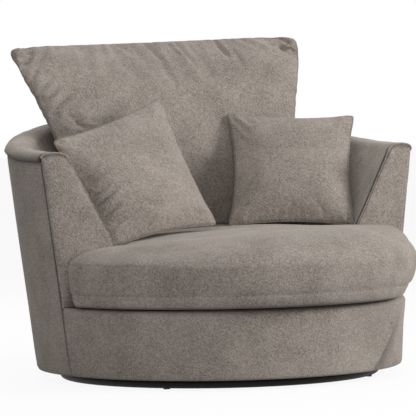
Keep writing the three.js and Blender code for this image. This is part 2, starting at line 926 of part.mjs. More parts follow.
// Half of the cushion's outline at a height, from the middle of the front to the middle of
// the back: an elliptic front, a round ear, the ear's straight back and the round tongue.
function seatHalfOutline(height) {
  const depth = seat.frontReach + seat.ellipseCentreY;
  const nose = shares(8).map((share) => {
    const angle = share * seat.earAngle;
    return [seat.halfWidth * Math.sin(angle), seat.ellipseCentreY - depth * Math.cos(angle)];
  });
  const cornerX = seat.earHalfWidth - seat.earCorner;
  const cornerY = earLineY(cornerX) - seat.earCorner;
  const ear = shares(4).map((share) => {
    const angle = (share * Math.PI) / 2;
    return [cornerX + seat.earCorner * Math.cos(angle), cornerY + seat.earCorner * Math.sin(angle)];
  });
  const tongueRadius = (share) => innerRadius(height, share) - seat.wallGap;
  const neck = wallPoint(tongueRadius(1), height, 1, earAhead);
  const waist = [(cornerX + neck.x) / 2, earLineY((cornerX + neck.x) / 2)];
  const tongue = shares(8).map((share) => {
    const p = wallPoint(tongueRadius(1 - share), height, 1 - share, earAhead);
    return [p.x, p.y];
  });
  return [...nose, ...ear, waist, ...tongue];
}

function seatOutline(height, inset) {
  const half = seatHalfOutline(height);
  const mirror = half.slice(1, -1).reverse().map(([x, y]) => [-x, y]);
  const whole = [...half, ...mirror];
  return whole.map(([x, y], i) => {
    const before = whole[(i + whole.length - 1) % whole.length];
    const after = whole[(i + 1) % whole.length];
    const into = new THREE.Vector2(before[1] - after[1], after[0] - before[0]).normalize();
    return [x + into.x * inset, y + into.y * inset];
  });
}

const smooth = (from, to, value) => THREE.MathUtils.smoothstep(value, from, to);

// The run over which the crown rises: long behind the nose, short beside the wall.
function crownRun(y) {
  const blend = smooth((3 * seat.hubY) / 2, seat.hubY / 2, y);
  return THREE.MathUtils.lerp(seat.frontCrownRun, seat.tongueCrownRun, blend);
}

// Full height of the crown at a place. It falls to the rear and to both sides, most to the
// left, where the cushion has settled under its scatter cushion.
function crownHeight(x, y) {
  const leftSag = seat.leftSagShare * smooth(-seat.sagFromX, seat.halfWidth, -x);
  const rightSag = seat.rightSagShare * smooth(seat.sagFromX, seat.halfWidth, x);
  const sag = 1 - leftSag - rightSag;
  return (seat.crown - seat.rearFall * smooth(seat.hubY, -seat.hubY, y)) * sag;
}

// Rise of the crown at a place, from its distance to the seam along the ray from the hub.
function crownRise(distance, rimY, place, inset) {
  const left = 1 - Math.min(distance / crownRun(rimY), 1);
  const crown = crownHeight(place.x, place.y) - inset / 2;
  return crown * (1 - left ** seat.runPower) ** seat.crownPower;
}

const seatBottom = deckTop + seatGap;
const seatSeam = seatBottom + seat.edgeHeight;

// The points of the cushion's skin or of a form inside it, ring by ring from the middle of
// the underside to the middle of the top.
function seatPoints(inset) {
  const hub = (z) => new THREE.Vector3(0, seat.hubY, z);
  const bottom = seatBottom + inset;
  const seam = seatSeam - inset / 2;
  const sides = [
    { z: bottom, inset: seat.underRoll },
    { z: bottom + seat.seamRise / 3, inset: (seat.underRoll + seat.seamInset) / 2 - cushion.coverThickness },
    { z: bottom + seat.seamRise, inset: seat.seamInset },
    { z: bottom + seat.bulgeRise, inset: seat.bulgeInset },
    { z: seam, inset: 0 },
  ];
  const ringAt = (z, setIn) =>
    seatOutline(z, inset + setIn).map(([x, y]) => new THREE.Vector3(x, y, z));
  const lowest = ringAt(sides[0].z, sides[0].inset);
  const under = lowest.map((p) => p.clone().lerp(hub(bottom), 1 / 2));
  const edge = ringAt(seam, 0);
  const topShares = [0.985, 0.95, 0.88, 0.76, 0.56, 0.3];
  const top = topShares.map((share) =>
    edge.map((p) => {
      const q = p.clone().lerp(hub(seam), 1 - share);
      const distance = p.distanceTo(hub(seam)) * (1 - share);
      q.z = seam + crownRise(distance, p.y, q, inset);
      return q;
    }),
  );
  const rings = [under, ...sides.map((side) => ringAt(side.z, side.inset)), ...top];
  const summit = hub(seam + crownHeight(0, seat.hubY) - inset / 2);
  return { count: edge.length, ringTotal: rings.length, points: [hub(bottom), ...rings.flat(), summit] };
}

function seatCells({ count, ringTotal }) {
  const cells = [];
  const at = (ring, i) => 1 + ring * count + (i % count);
  for (let i = 0; i < count; i += 1) {
    cells.push([0, at(0, i + 1), at(0, i)]);
  }
  for (let ring = 0; ring < ringTotal - 1; ring += 1) {
    for (let i = 0; i < count; i += 1) {
      cells.push([at(ring, i), at(ring, i + 1), at(ring + 1, i + 1), at(ring + 1, i)]);
    }
  }
  for (let i = 0; i < count; i += 1) {
    cells.push([at(ringTotal - 1, i), at(ringTotal - 1, i + 1), 1 + ringTotal * count]);
  }
  return cells;
}

function makeSeatCover() {
  const outer = seatPoints(0);
  const inner = seatPoints(cushion.coverThickness);
  const zipRing = 4;
  const start = outer.count * (1 + zipRing);
  const middle = start + outer.count / 2;
  const half = Math.round((outer.count * cushion.zipShare) / 8);
  const isOpen = (cell) => cell >= middle - half && cell < middle + half;
  return sheetFrom(seatCells(outer), outer.points, inner.points, isOpen);
}

function makeSeatFoam() {
  const form = seatPoints(cushion.coverThickness + cushion.fillPlay);
  return solidFrom(seatCells(form), form.points);
}

// Pillows

// Places along a pillow's side, closer together at its seams.
const seamSpread = (count) => spread(count).map((share) => Math.sin((share * Math.PI) / 2));
const swell = (share) => (1 - Math.abs(share) ** cushion.swellPower) ** cushion.edgePower;

// How far a place on a pillow is drawn out of the square by its four corners.
function cornerPull({ footLeft, footRight, topLeft, topRight }, u, v) {
  const right = (u + 1) / 2;
  const top = (v + 1) / 2;
  return [0, 1].map((axis) =>
    THREE.MathUtils.lerp(
      THREE.MathUtils.lerp(footLeft[axis], footRight[axis], right),
      THREE.MathUtils.lerp(topLeft[axis], topRight[axis], right),
      top,
    ),
  );
}

// A pillow stands on its lower edge at the origin, its width along X and its front to -Y. It
// is a net of two faces that share the seam all round. Its middle bows back on the level,
// however far the pillow leans.
function pillowNet(form, columns, rows, inset) {
  const points = [];
  const faceIndex = { front: [], rear: [] };
  const across = seamSpread(columns);
  const up = seamSpread(rows);
  const halfHeight = form.height / 2;
  const pointAt = (u, v, side) => {
    const width = THREE.MathUtils.lerp(form.bottomWidth, form.topWidth, (v + 1) / 2) / 2;
    const halfWidth = width * (1 - form.sidePullShare * (1 - v ** 2)) - inset;
    const halfRise = halfHeight * (1 - form.topPullShare * (1 - u ** 2)) - inset;
    const blunt = 1 - (1 - form.cornerShare) * Math.abs(u * v) ** form.cornerPower;
    const x = u * halfWidth * blunt;
    const depth = side * (form.halfThickness - inset) * swell(u) * swell(v);
    const bow = form.bow * (1 - (x / width) ** 2);
    const [pullAcross, pullUp] = cornerPull(form.cornerShifts, u, v);
    return new THREE.Vector3(
      x + pullAcross,
      depth + bow * Math.cos(form.lean),
      halfHeight + v * halfRise * blunt + bow * Math.sin(form.lean) + pullUp,
    );
  };
  up.forEach((v, j) =>
    across.forEach((u, i) => {
      const onSeam = i === 0 || j === 0 || i === columns - 1 || j === rows - 1;
      faceIndex.front.push(points.length);
      points.push(pointAt(u, v, -1));
      faceIndex.rear.push(onSeam ? points.length - 1 : points.length);
      if (!onSeam) points.push(pointAt(u, v, 1));
    }),
  );
  const grid = gridCells(rows, columns);
  const front = grid.map((cell) => cell.map((corner) => faceIndex.front[corner]).reverse());
  const rear = grid.map((cell) => cell.map((corner) => faceIndex.rear[corner]));
  return { cells: [...front, ...rear], points, zipRow: front.length, columns };
}

function pillowCover(form, columns, rows) {
  const outer = pillowNet(form, columns, rows, 0);
  const inner = pillowNet(form, columns, rows, cushion.coverThickness);
  const slots = columns - 1;
  const margin = Math.round((slots * (1 - cushion.zipShare)) / 2);
  const isOpen = (cell) =>
    cell >= outer.zipRow + margin && cell < outer.zipRow + slots - margin;
  return sheetFrom(outer.cells, outer.points, inner.points, isOpen);
}

// The filling doesn't reach into the cover's corners.
function pillowFilling(form, columns, rows) {
  const cornerShare = form.cornerShare - cushion.emptyCornerShare;
  const inset = cushion.coverThickness + cushion.fillPlay;
  const net = pillowNet({ ...form, cornerShare }, columns, rows, inset);
  return solidFrom(net.cells, net.points);
}

// How far a placed pillow can be lowered until it all but touches the seat cushion.
function dropToSeat(pillow, seatCover) {
  const pillowSolid = manifoldOf(pillow);
  const seatSolid = manifoldOf(seatCover);
  let clear = 0;
  let touching = seat.edgeHeight;
  while (touching - clear > cushion.restGap / 4) {
    const drop = (clear + touching) / 2;
    const shared = pillowSolid.translate([0, 0, -drop]).intersect(seatSolid);
    if (shared.isEmpty()) clear = drop;
    else touching = drop;
  }
  return clear - cushion.restGap;
}

const backGrid = [13, 11];
const backTurn = new THREE.Matrix4()
  .makeTranslation(0, back.footY, seatSeam + seat.crown)
  .multiply(new THREE.Matrix4().makeRotationX(-back.lean))
  .multiply(new THREE.Matrix4().makeRotationY(-back.tilt));

const scatterForm = (place) => ({
  bottomWidth: scatter.size,
  topWidth: scatter.size,
  height: scatter.size,
  halfThickness: scatter.halfThickness,
  sidePullShare: scatter.pullShare,
  topPullShare: scatter.pullShare,
  cornerShare: scatter.cornerShare,
  cornerPower: scatter.cornerPower,
  cornerShifts: place.cornerShifts,
  bow: 0,
  lean: 0,
});
const scatterGrid = [9, 9];

// A scatter cushion turns about its own middle: roll in its plane, lean back, then turn.
function scatterTurn(place) {
  const middle = scatter.size / 2;
  const x = place.sign * (rimRadius - place.rimRoom);
  const y = backFootY - place.ahead;
  const steps = [
    new THREE.Matrix4().makeTranslation(x, y, seatSeam + seat.crown + middle),
    new THREE.Matrix4().makeRotationZ(THREE.MathUtils.degToRad(place.turn)),
    new THREE.Matrix4().makeRotationX(THREE.MathUtils.degToRad(-place.lean)),
    new THREE.Matrix4().makeRotationY(THREE.MathUtils.degToRad(-place.roll)),
    new THREE.Matrix4().makeTranslation(0, 0, -middle),
  ];
  return steps.reduce((all, step) => all.multiply(step), new THREE.Matrix4());
}

function placedPillow(form, grid, turn, seatCover) {
  const cover = pillowCover(form, ...grid).applyMatrix4(turn);
  const filling = pillowFilling(form, ...grid).applyMatrix4(turn);
  const drop = dropToSeat(cover, seatCover);
  return { cover: cover.translate(0, 0, -drop), filling: filling.translate(0, 0, -drop) };
}

// Assembly

function add(group, name, geometry, material) {
  const mesh = new THREE.Mesh(geometry, material);
  mesh.name = name;
  group.add(mesh);
}

function makeBaseGroup() {
  const group = new THREE.Group();
  const reach = base.ringRadius;
  const halfBar = base.barWidth / 2 + seatGap;
  add(group, "base_ring", makeRingTube(), blackSteel());
  add(group, "cross_bar_long", makeCrossBar(-reach, reach), blackSteel());
  const quarter = Math.PI / 2;
  add(group, "cross_bar_rear", makeCrossBar(halfBar, reach).rotateZ(quarter), blackSteel());
  add(group, "cross_bar_front", makeCrossBar(halfBar, reach).rotateZ(-quarter), blackSteel());
  for (let i = 0; i < base.glideCount; i += 1) {
    const angle = (2 * Math.PI * (i + 1 / 2)) / base.glideCount;
    add(group, `glide_${i + 1}`, makeGlide(angle), plastic());
  }
  add(group, "swivel_lower_plate", makePlate(lowerPlateTop, 1), brightSteel());
  return group;
}

function makeRaceGroup() {
  const group = new THREE.Group();
  add(group, "ball_cage", makeCage(), plastic());
  ballAngles().forEach((angle, i) => {
    add(group, `bearing_ball_${i + 1}`, makeBall(angle), brightSteel());
  });
  return group;
}

function makeTubGroup() {
  const group = new THREE.Group();
  add(group, "swivel_upper_plate", makePlate(upperPlateBottom, -1), brightSteel());
  add(group, "base_board", makeBaseBoard(), wood());
  add(group, "bearer_front", makeBearer(-1), wood());
  add(group, "bearer_rear", makeBearer(1), wood());
  add(group, "seat_board", makeSeatBoard(), wood());
  add(group, "top_rail", makeTopRail(), wood());
  const uprightShares = [-0.78, -0.45, -0.15, 0.15, 0.45, 0.78];
  uprightShares.forEach((share, i) => {
    add(group, `upright_${i + 1}`, makeUpright(share), wood());
  });
  [["left", -1], ["right", 1]].forEach(([name, side]) => {
    add(group, `front_post_${name}`, makePost(side), wood());
    add(group, `arm_frame_${name}`, makeArmFrame(side), wood());
    add(group, `arm_facing_${name}`, makeFacing(side), fabric("fabric"));
  });
  add(group, "front_panel", makeFrontPanel(), wood());
  for (let i = 0; i < deck.springCount; i += 1) {
    const x = (i - (deck.springCount - 1) / 2) * springSpacing;
    add(group, `seat_spring_${i + 1}`, makeSpring(x), brightSteel());
  }
  add(group, "deck_pad", makeDeckPad(), foam());
  add(group, "deck_cloth", makeDeckCloth(), fabric("deck cloth"));
  add(group, "inner_panel", makeInnerPanel(), wood());
  add(group, "tub_padding", makeTubPadding(), foam());
  add(group, "inside_cover", makeInsideCover(), fabric("fabric"));
  add(group, "outside_cover", makeOutsideCover(), fabric("fabric"));
  add(group, "front_border", makeFrontBorder(), fabric("fabric"));
  add(group, "dust_cover", makeDustCover(), blackCloth());
  return group;
}

function makeCushionGroup() {
  const group = new THREE.Group();
  const seatCover = makeSeatCover();
  add(group, "seat_cushion_cover", seatCover, fabric("fabric"));
  add(group, "seat_cushion_foam", makeSeatFoam(), foam());
  const backPillow = placedPillow(back, backGrid, backTurn, seatCover);
  add(group, "back_cushion_cover", backPillow.cover, fabric("fabric"));
  add(group, "back_cushion_filling", backPillow.filling, fibre());
  scatterPlaces.forEach((place) => {
    const turn = scatterTurn(place);
    const pillow = placedPillow(scatterForm(place), scatterGrid, turn, seatCover);
    add(group, `scatter_${place.side}_cover`, pillow.cover, fabric("fabric"));
    add(group, `scatter_${place.side}_filling`, pillow.filling, fibre());
  });
  return group;
}

const chair = new THREE.Group();
chair.add(makeBaseGroup(), makeRaceGroup(), makeTubGroup(), makeCushionGroup());

export default chair;
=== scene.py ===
"""A swivel cuddle chair dressed in brushed velour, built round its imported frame.

The tub, the deck and the loose cushions are upholstery, so each gets its own soft form. The
timber, the springs and the ball race keep their solids and get their finishes here.
"""

from __future__ import annotations

import json
import logging
import math
from dataclasses import dataclass, field
from enum import Enum
from typing import Callable, Iterable, Sequence

import bpy
import numpy as np
from mathutils import Matrix, Vector, noise
from mathutils.bvhtree import BVHTree

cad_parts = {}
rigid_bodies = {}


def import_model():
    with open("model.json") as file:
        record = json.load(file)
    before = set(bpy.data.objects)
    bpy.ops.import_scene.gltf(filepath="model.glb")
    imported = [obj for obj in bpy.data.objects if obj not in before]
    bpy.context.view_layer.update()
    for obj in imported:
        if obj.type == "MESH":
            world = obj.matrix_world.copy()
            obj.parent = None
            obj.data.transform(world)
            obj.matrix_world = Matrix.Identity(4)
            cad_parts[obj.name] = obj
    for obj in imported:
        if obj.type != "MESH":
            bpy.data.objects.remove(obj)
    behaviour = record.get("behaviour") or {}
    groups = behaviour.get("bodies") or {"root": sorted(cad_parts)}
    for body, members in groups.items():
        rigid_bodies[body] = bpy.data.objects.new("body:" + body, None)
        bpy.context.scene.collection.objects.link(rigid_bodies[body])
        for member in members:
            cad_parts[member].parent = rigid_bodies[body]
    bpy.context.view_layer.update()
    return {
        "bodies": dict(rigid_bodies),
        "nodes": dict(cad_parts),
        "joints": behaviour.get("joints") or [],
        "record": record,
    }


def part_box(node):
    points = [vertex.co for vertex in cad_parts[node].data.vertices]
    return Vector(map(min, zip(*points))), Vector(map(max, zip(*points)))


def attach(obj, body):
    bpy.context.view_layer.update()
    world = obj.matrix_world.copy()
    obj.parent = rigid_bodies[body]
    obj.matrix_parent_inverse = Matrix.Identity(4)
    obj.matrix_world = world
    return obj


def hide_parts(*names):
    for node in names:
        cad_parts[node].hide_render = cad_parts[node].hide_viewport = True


log = logging.getLogger("cuddle_chair")

MM = 0.001
# The point attribute named seam holds dark seam lines and also painted shade in joints, gaps and deep creases.
SEAM_AND_SHADE = "seam"
SEWN = "sewn edge"

Place = Callable[[np.ndarray, np.ndarray], np.ndarray]


class Body(str, Enum):
    """The moving bodies of the frame that pieces ride on."""

    BASE = "base"
    BALL_RACE = "ball_race"
    TUB = "tub"
    SEAT_CUSHION = "seat_cushion"
    BACK_CUSHION = "back_cushion"
    SCATTER_RIGHT = "scatter_right"
    SCATTER_LEFT = "scatter_left"


class Slot(str, Enum):
    """The record's material slots."""

    VELOUR = "velour"
    DECK_CLOTH = "deck_cloth"
    LINING = "black_lining"
    FOAM = "foam"
    FIBRE = "fibre_filling"
    WOOD = "frame_wood"
    BLACK_STEEL = "black_steel"
    BRIGHT_STEEL = "bright_steel"
    PLASTIC = "black_plastic"


# Shader building


class Sock:
    """A shader value that adds Math nodes when it is used in a Python expression."""

    def __init__(self, tree: bpy.types.NodeTree, value: object) -> None:
        """Keeps the node tree and the socket, or the plain number, that this value stands for."""
        self.tree = tree
        self.value = value

    def _math(self, operation: str, first: object, second: object = None) -> "Sock":
        """Adds one Math node.

        Args:
            operation: the Math node's operation.
            first: its first value.
            second: its second value, if it takes one.

        Returns:
            The node's result.
        """
        node = self.tree.nodes.new("ShaderNodeMath")
        node.operation = operation
        for index, value in enumerate((first, second)):
            raw = value.value if isinstance(value, Sock) else value
            if raw is None:
                continue
            if isinstance(raw, (int, float)):
                node.inputs[index].default_value = raw
            else:
                self.tree.links.new(raw, node.inputs[index])
        return Sock(self.tree, node.outputs[0])

    def __add__(self, other: object) -> "Sock":
        """This value plus another."""
        return self._math("ADD", self, other)

    def __radd__(self, other: object) -> "Sock":
        """Another value plus this one."""
        return self._math("ADD", other, self)

    def __sub__(self, other: object) -> "Sock":
        """This value less another."""
        return self._math("SUBTRACT", self, other)

    def __rsub__(self, other: object) -> "Sock":
        """Another value less this one."""
        return self._math("SUBTRACT", other, self)

    def __mul__(self, other: object) -> "Sock":
        """This value times another."""
        return self._math("MULTIPLY", self, other)

    def __rmul__(self, other: object) -> "Sock":
        """Another value times this one."""
        return self._math("MULTIPLY", other, self)

    def __pow__(self, other: object) -> "Sock":
        """This value to a power."""
        return self._math("POWER", self, other)

    def clamped(self) -> "Sock":
        """This value kept between 0 and 1."""
        result = self._math("MULTIPLY", self, 1.0)
        result.value.node.use_clamp = True
        return result


class Shader:
    """A material or a world under construction, with one method that adds any node to it."""

    def __init__(self, holder: bpy.types.Material | bpy.types.World) -> None:
        """Empties the node tree of a material or a world."""
        holder.use_nodes = True
        self.holder = holder
        self.tree = holder.node_tree
        self.tree.nodes.clear()

    @classmethod
    def named(cls, name: str) -> "Shader":
        """Starts an empty material with this name."""
        return cls(bpy.data.materials.new(name))

    def node(self, kind: str, settings: dict | None = None, inputs: dict | None = None) -> bpy.types.Node:
        """Adds a node.

        Args:
            kind: the node's type.
            settings: its properties, and a ramp's stops under the key "stops".
            inputs: values or links for its sockets, by name or number.

        Returns:
            The new node.
        """
        made = self.tree.nodes.new(kind)
        for key, value in (settings or {}).items():
            if key == "stops":
                self._set_stops(made, value)
            else:
                setattr(made, key, value)
        for key, value in (inputs or {}).items():
            raw = value.value if isinstance(value, Sock) else value
            if isinstance(raw, bpy.types.NodeSocket):
                self.tree.links.new(raw, made.inputs[key])
            else:
                made.inputs[key].default_value = raw
        return made

    @staticmethod
    def _set_stops(ramp: bpy.types.Node, stops: Sequence[tuple[float, Sequence[float]]]) -> None:
        """Gives a colour ramp its stops.

        Args:
            ramp: the ramp node.
            stops: place and colour of each stop.
        """
        elements = ramp.color_ramp.elements
        while len(elements) < len(stops):
            elements.new(0.5)
        for element, (place, colour) in zip(elements, stops):
            element.position = place
            element.color = colour

    def coordinates(self, turn: Sequence[float] = (0, 0, 0), length: Sequence[float] = (1, 1, 1)) -> bpy.types.NodeSocket:
        """Object coordinates, turned and then drawn out.

        Args:
            turn: the pattern's turn about each axis in radians.
            length: how far the pattern is drawn out along each of its own axes.

        Returns:
            The vector socket.
        """
        source = self.node("ShaderNodeTexCoord").outputs["Object"]
        mapping = self.node(
            "ShaderNodeMapping",
            {"vector_type": "TEXTURE"},
            {"Vector": source, "Rotation": turn, "Scale": length},
        )
        return mapping.outputs["Vector"]

    def noise(self, vector: bpy.types.NodeSocket, scale: float, detail: float = 2.0, roughness: float = 0.5) -> Sock:
        """A noise value.

        Args:
            vector: where it is read.
            scale: how fine it is.
            detail: its octaves.
            roughness: the weight of its finer octaves.

        Returns:
            A value round 0.5.
        """
        made = self.node(
            "ShaderNodeTexNoise",
            inputs={"Vector": vector, "Scale": scale, "Detail": detail, "Roughness": roughness},
        )
        return Sock(self.tree, made.outputs["Fac"])

    def attribute(self, name: str) -> Sock:
        """A number stored on the mesh's points."""
        made = self.node("ShaderNodeAttribute", {"attribute_name": name})
        return Sock(self.tree, made.outputs["Fac"])

    def mix(self, factor: object, first: object, second: object, blend: str = "MIX") -> bpy.types.NodeSocket:
        """Mixes two colours.

        Args:
            factor: how much of the second.
            first: a colour or a socket.
            second: a colour or a socket.
            blend: the way they mix.

        Returns:
            The colour socket.
        """
        made = self.node(
            "ShaderNodeMix",
            {"data_type": "RGBA", "blend_type": blend},
            {0: factor, 6: first, 7: second},
        )
        return made.outputs[2]

    def grey(self, value: Sock) -> bpy.types.NodeSocket:
        """A value as a grey colour, from black at 0 to white at 1."""
        return self.mix(value, (0, 0, 0, 1), (1, 1, 1, 1))

    def bump(self, height: Sock, strength: float, distance: float) -> bpy.types.NodeSocket:
        """A bumped normal.

        Args:
            height: the relief.
            strength: how strongly it shows.
            distance: its depth in metres.

        Returns:
            The normal socket.
        """
        made = self.node(
            "ShaderNodeBump", inputs={"Strength": strength, "Distance": distance, "Height": height}
        )
        return made.outputs["Normal"]

    def surface(self, **inputs: object) -> bpy.types.Material:
        """Ends the material with a principled surface.

        Args:
            **inputs: the surface's sockets, with underscores for the spaces in their names.

        Returns:
            The finished material.
        """
        named = {key.replace("_", " "): value for key, value in inputs.items()}
        principled = self.node("ShaderNodeBsdfPrincipled", inputs=named)
        self.node("ShaderNodeOutputMaterial", inputs={"Surface": principled.outputs["BSDF"]})
        return self.holder


# Finishes


@dataclass(frozen=True)
class Velour:
    """Brushed velour: a mottled pile, combed to one side in short streaks, with a soft sheen."""

    name: str = "velour"
    pale: tuple[float, float, float] = (0.48, 0.421, 0.374)
    deep: tuple[float, float, float] = (0.132, 0.11, 0.093)
    seam_and_shade_strength: float = 0.75
    brush: tuple[float, float, float] = (0.69, -0.33, -0.64)
    pile_scale: float = 560.0
    nap_scale: float = 330.0
    streak_scale: float = 210.0
    cloud_scale: float = 11.0
    stroke_scale: float = 4.5

    def make(self) -> bpy.types.Material:
        """Builds the material."""
        shader = Shader.named(self.name)
        turn = Vector((0, 1, 0)).rotation_difference(Vector(self.brush)).to_euler()
        plain = shader.coordinates()
        combed = shader.coordinates(turn=turn, length=(1.0, 1.8, 1.0))
        drawn = shader.coordinates(turn=turn, length=(1.0, 3.4, 1.0))
        pile = shader.noise(plain, self.pile_scale, 2.0, 0.6)
        nap = shader.noise(combed, self.nap_scale, 3.0, 0.55)
        streak = shader.noise(drawn, self.streak_scale, 3.0, 0.6)
        cloud = shader.noise(plain, self.cloud_scale, 4.0, 0.6)
        stroke = shader.noise(drawn, self.stroke_scale, 3.0, 0.55)
        mottle = (pile - 0.5) * 1.2 + (nap - 0.5) * 1.6 + (streak - 0.5) * 0.65
        tone = (mottle + (cloud - 0.5) * 0.6 + (stroke - 0.5) * 0.45 + 0.5).clamped()
        cloth = shader.mix(tone, (*self.deep, 1), (*self.pale, 1))
        # Darkens the cloth where the seam attribute is high: dark seam lines, and painted shade in joints, gaps and
        # deep creases.
        seam = shader.attribute(SEAM_AND_SHADE) * self.seam_and_shade_strength
        shaded = shader.mix(seam, cloth, (0.012, 0.009, 0.007, 1))
        relief = pile * 0.35 + nap * 0.4 + streak * 0.25
        return shader.surface(
            Base_Color=shaded,
            Roughness=0.94 - tone * 0.1,
            Normal=shader.bump(relief, 0.5, 0.0022),
            Sheen_Weight=0.2,
            Sheen_Roughness=0.45,
            Sheen_Tint=(1.0, 0.95, 0.88, 1.0),
            Specular_IOR_Level=0.2,
        )


@dataclass(frozen=True)
class PlainCloth:
    """Flat cloth with a fine square weave, for the deck and the lining."""

    name: str
    colour: tuple[float, float, float]
    weave_scale: float = 900.0
    variation: float = 0.25

    def make(self) -> bpy.types.Material:
        """Builds the material."""
        shader = Shader.named(self.name)
        place = shader.coordinates()
        weft = shader.node(
            "ShaderNodeTexWave",
            {"wave_type": "BANDS", "bands_direction": "X"},
            {"Vector": place, "Scale": self.weave_scale, "Distortion": 1.5, "Detail": 1.0},
        )
        warp = shader.node(
            "ShaderNodeTexWave",
            {"wave_type": "BANDS", "bands_direction": "Y"},
            {"Vector": place, "Scale": self.weave_scale, "Distortion": 1.5, "Detail": 1.0},
        )
        weave = Sock(shader.tree, weft.outputs["Fac"]) * Sock(shader.tree, warp.outputs["Fac"])
        cloud = shader.noise(place, 30.0, 3.0)
        tone = (weave * 0.5 + cloud * 0.5).clamped()
        dark = tuple(part * (1 - self.variation) for part in self.colour)
        light = tuple(min(part * (1 + self.variation), 1.0) for part in self.colour)
        return shader.surface(
            Base_Color=shader.mix(tone, (*dark, 1), (*light, 1)),
            Roughness=0.95 - cloud * 0.1,
            Normal=shader.bump(weave, 0.3, 0.0006),
            Sheen_Weight=0.1,
        )


@dataclass(frozen=True)
class Timber:
    """Sawn frame timber with long grain along X, as boards and rails are cut."""

    name: str = "frame timber"
    pale: tuple[float, float, float] = (0.62, 0.43, 0.23)
    dark: tuple[float, float, float] = (0.42, 0.26, 0.12)

    def make(self) -> bpy.types.Material:
        """Builds the material."""
        shader = Shader.named(self.name)
        along = shader.coordinates(length=(8.0, 1.0, 1.0))
        grain = shader.noise(along, 75.0, 6.0, 0.65)
        pores = shader.noise(along, 600.0, 2.0)
        tone = (grain * 1.6 - 0.3).clamped()
        return shader.surface(
            Base_Color=shader.mix(tone, (*self.dark, 1), (*self.pale, 1)),
            Roughness=0.62 + pores * 0.25,
            Normal=shader.bump(grain * 0.6 + pores * 0.4, 0.25, 0.0008),
        )


@dataclass(frozen=True)
class Metal:
    """Steel with fine surface marks: painted where metallic is low, bare where it is high."""

    name: str
    colour: tuple[float, float, float]
    worn: tuple[float, float, float]
    metallic: float
    roughness: float
    gloss: float = 0.5

    def make(self) -> bpy.types.Material:
        """Builds the material."""
        shader = Shader.named(self.name)
        place = shader.coordinates()
        speckle = shader.noise(place, 700.0, 3.0, 0.6)
        smear = shader.noise(place, 22.0, 4.0, 0.55)
        tone = ((smear - 0.5) * 1.4 + (speckle - 0.5) * 0.6 + 0.5).clamped()
        return shader.surface(
            Base_Color=shader.mix(tone, (*self.colour, 1), (*self.worn, 1)),
            Metallic=self.metallic,
            Roughness=self.roughness + smear * 0.15,
            Normal=shader.bump(speckle, 0.15, 0.0004),
            Specular_IOR_Level=self.gloss,
        )


@dataclass(frozen=True)
class MouldedPlastic:
    """Black moulded plastic with a fine spark grain."""

    name: str = "moulded plastic"
    colour: tuple[float, float, float] = (0.012, 0.012, 0.012)
    grey: tuple[float, float, float] = (0.03, 0.03, 0.03)

    def make(self) -> bpy.types.Material:
        """Builds the material."""
        shader = Shader.named(self.name)
        spark = shader.noise(shader.coordinates(), 1200.0, 2.0)
        return shader.surface(
            Base_Color=shader.mix(spark, (*self.colour, 1), (*self.grey, 1)),
            Roughness=0.5 + spark * 0.15,
            Normal=shader.bump(spark, 0.2, 0.0003),
        )


@dataclass
class Wardrobe:
    """Every finish of the chair, made once."""

    materials: dict[Slot, bpy.types.Material] = field(default_factory=dict)

    def fill(self) -> None:
        """Makes the material of each slot."""
        self.materials = {
            Slot.VELOUR: Velour().make(),
            # The deck cloth is near black: a dark platform cloth, made this dark also as painted shade for the gap
            # under the seat.
            Slot.DECK_CLOTH: PlainCloth("deck cloth", (0.04, 0.034, 0.029)).make(),
            Slot.LINING: PlainCloth("black lining", (0.014, 0.013, 0.013)).make(),
            Slot.FOAM: PlainCloth("foam", (0.78, 0.7, 0.5), 300.0).make(),
            Slot.FIBRE: PlainCloth("fibre filling", (0.86, 0.84, 0.8), 200.0).make(),
            Slot.WOOD: Timber().make(),
            Slot.BLACK_STEEL: Metal("black steel", (0.009, 0.0075, 0.006), (0.02, 0.017, 0.014), 0.0, 0.5, 0.2).make(),
            Slot.BRIGHT_STEEL: Metal("zinc plated steel", (0.42, 0.43, 0.45), (0.6, 0.61, 0.62), 1.0, 0.28).make(),
            Slot.PLASTIC: MouldedPlastic().make(),
        }

    def wear(self, piece: bpy.types.Object, slot: Slot) -> None:
        """Gives a new piece its finish.

        Args:
            piece: the piece.
            slot: the finish's slot.
        """
        piece.data.materials.clear()
        piece.data.materials.append(self.materials[slot])

    def wear_node(self, node: bpy.types.Object, slot: Slot) -> None:
        """Gives a solid of the frame its finish.

        Args:
            node: the solid.
            slot: the finish's slot.
        """
        if not node.material_slots:
            node.data.materials.append(self.materials[slot])
        for holder in node.material_slots:
            holder.material = self.materials[slot]


# Mesh work


def select_only(*pieces: bpy.types.Object) -> None:
    """Selects these objects alone and makes the first one active."""
    bpy.ops.object.select_all(action="DESELECT")
    for piece in pieces:
        piece.select_set(True)
    bpy.context.view_layer.objects.active = pieces[0]


def points_of(piece: bpy.types.Object) -> np.ndarray:
    """The points of a mesh as an array of rows."""
    found = np.empty(len(piece.data.vertices) * 3)
    piece.data.vertices.foreach_get("co", found)
    return found.reshape(-1, 3)


def set_points(piece: bpy.types.Object, points: np.ndarray) -> None:
    """Moves the points of a mesh.

    Args:
        piece: the mesh object.
        points: one row for each point.
    """
    piece.data.vertices.foreach_set("co", np.ascontiguousarray(points, float).ravel())
    piece.data.update()


def normals_of(piece: bpy.types.Object) -> np.ndarray:
    """The outward directions at the points of a mesh."""
    found = np.empty(len(piece.data.vertices) * 3)
    piece.data.vertex_normals.foreach_get("vector", found)
    return found.reshape(-1, 3)


def mark(piece: bpy.types.Object, values: np.ndarray, name: str = SEAM_AND_SHADE) -> None:
    """Stores a number on each point of a mesh.

    Args:
        piece: the mesh object.
        values: one number for each point.
        name: the attribute's name.
    """
    attribute = piece.data.attributes.get(name)
    if attribute is None:
        attribute = piece.data.attributes.new(name, "FLOAT", "POINT")
    attribute.data.foreach_set("value", np.ascontiguousarray(values, np.float32))


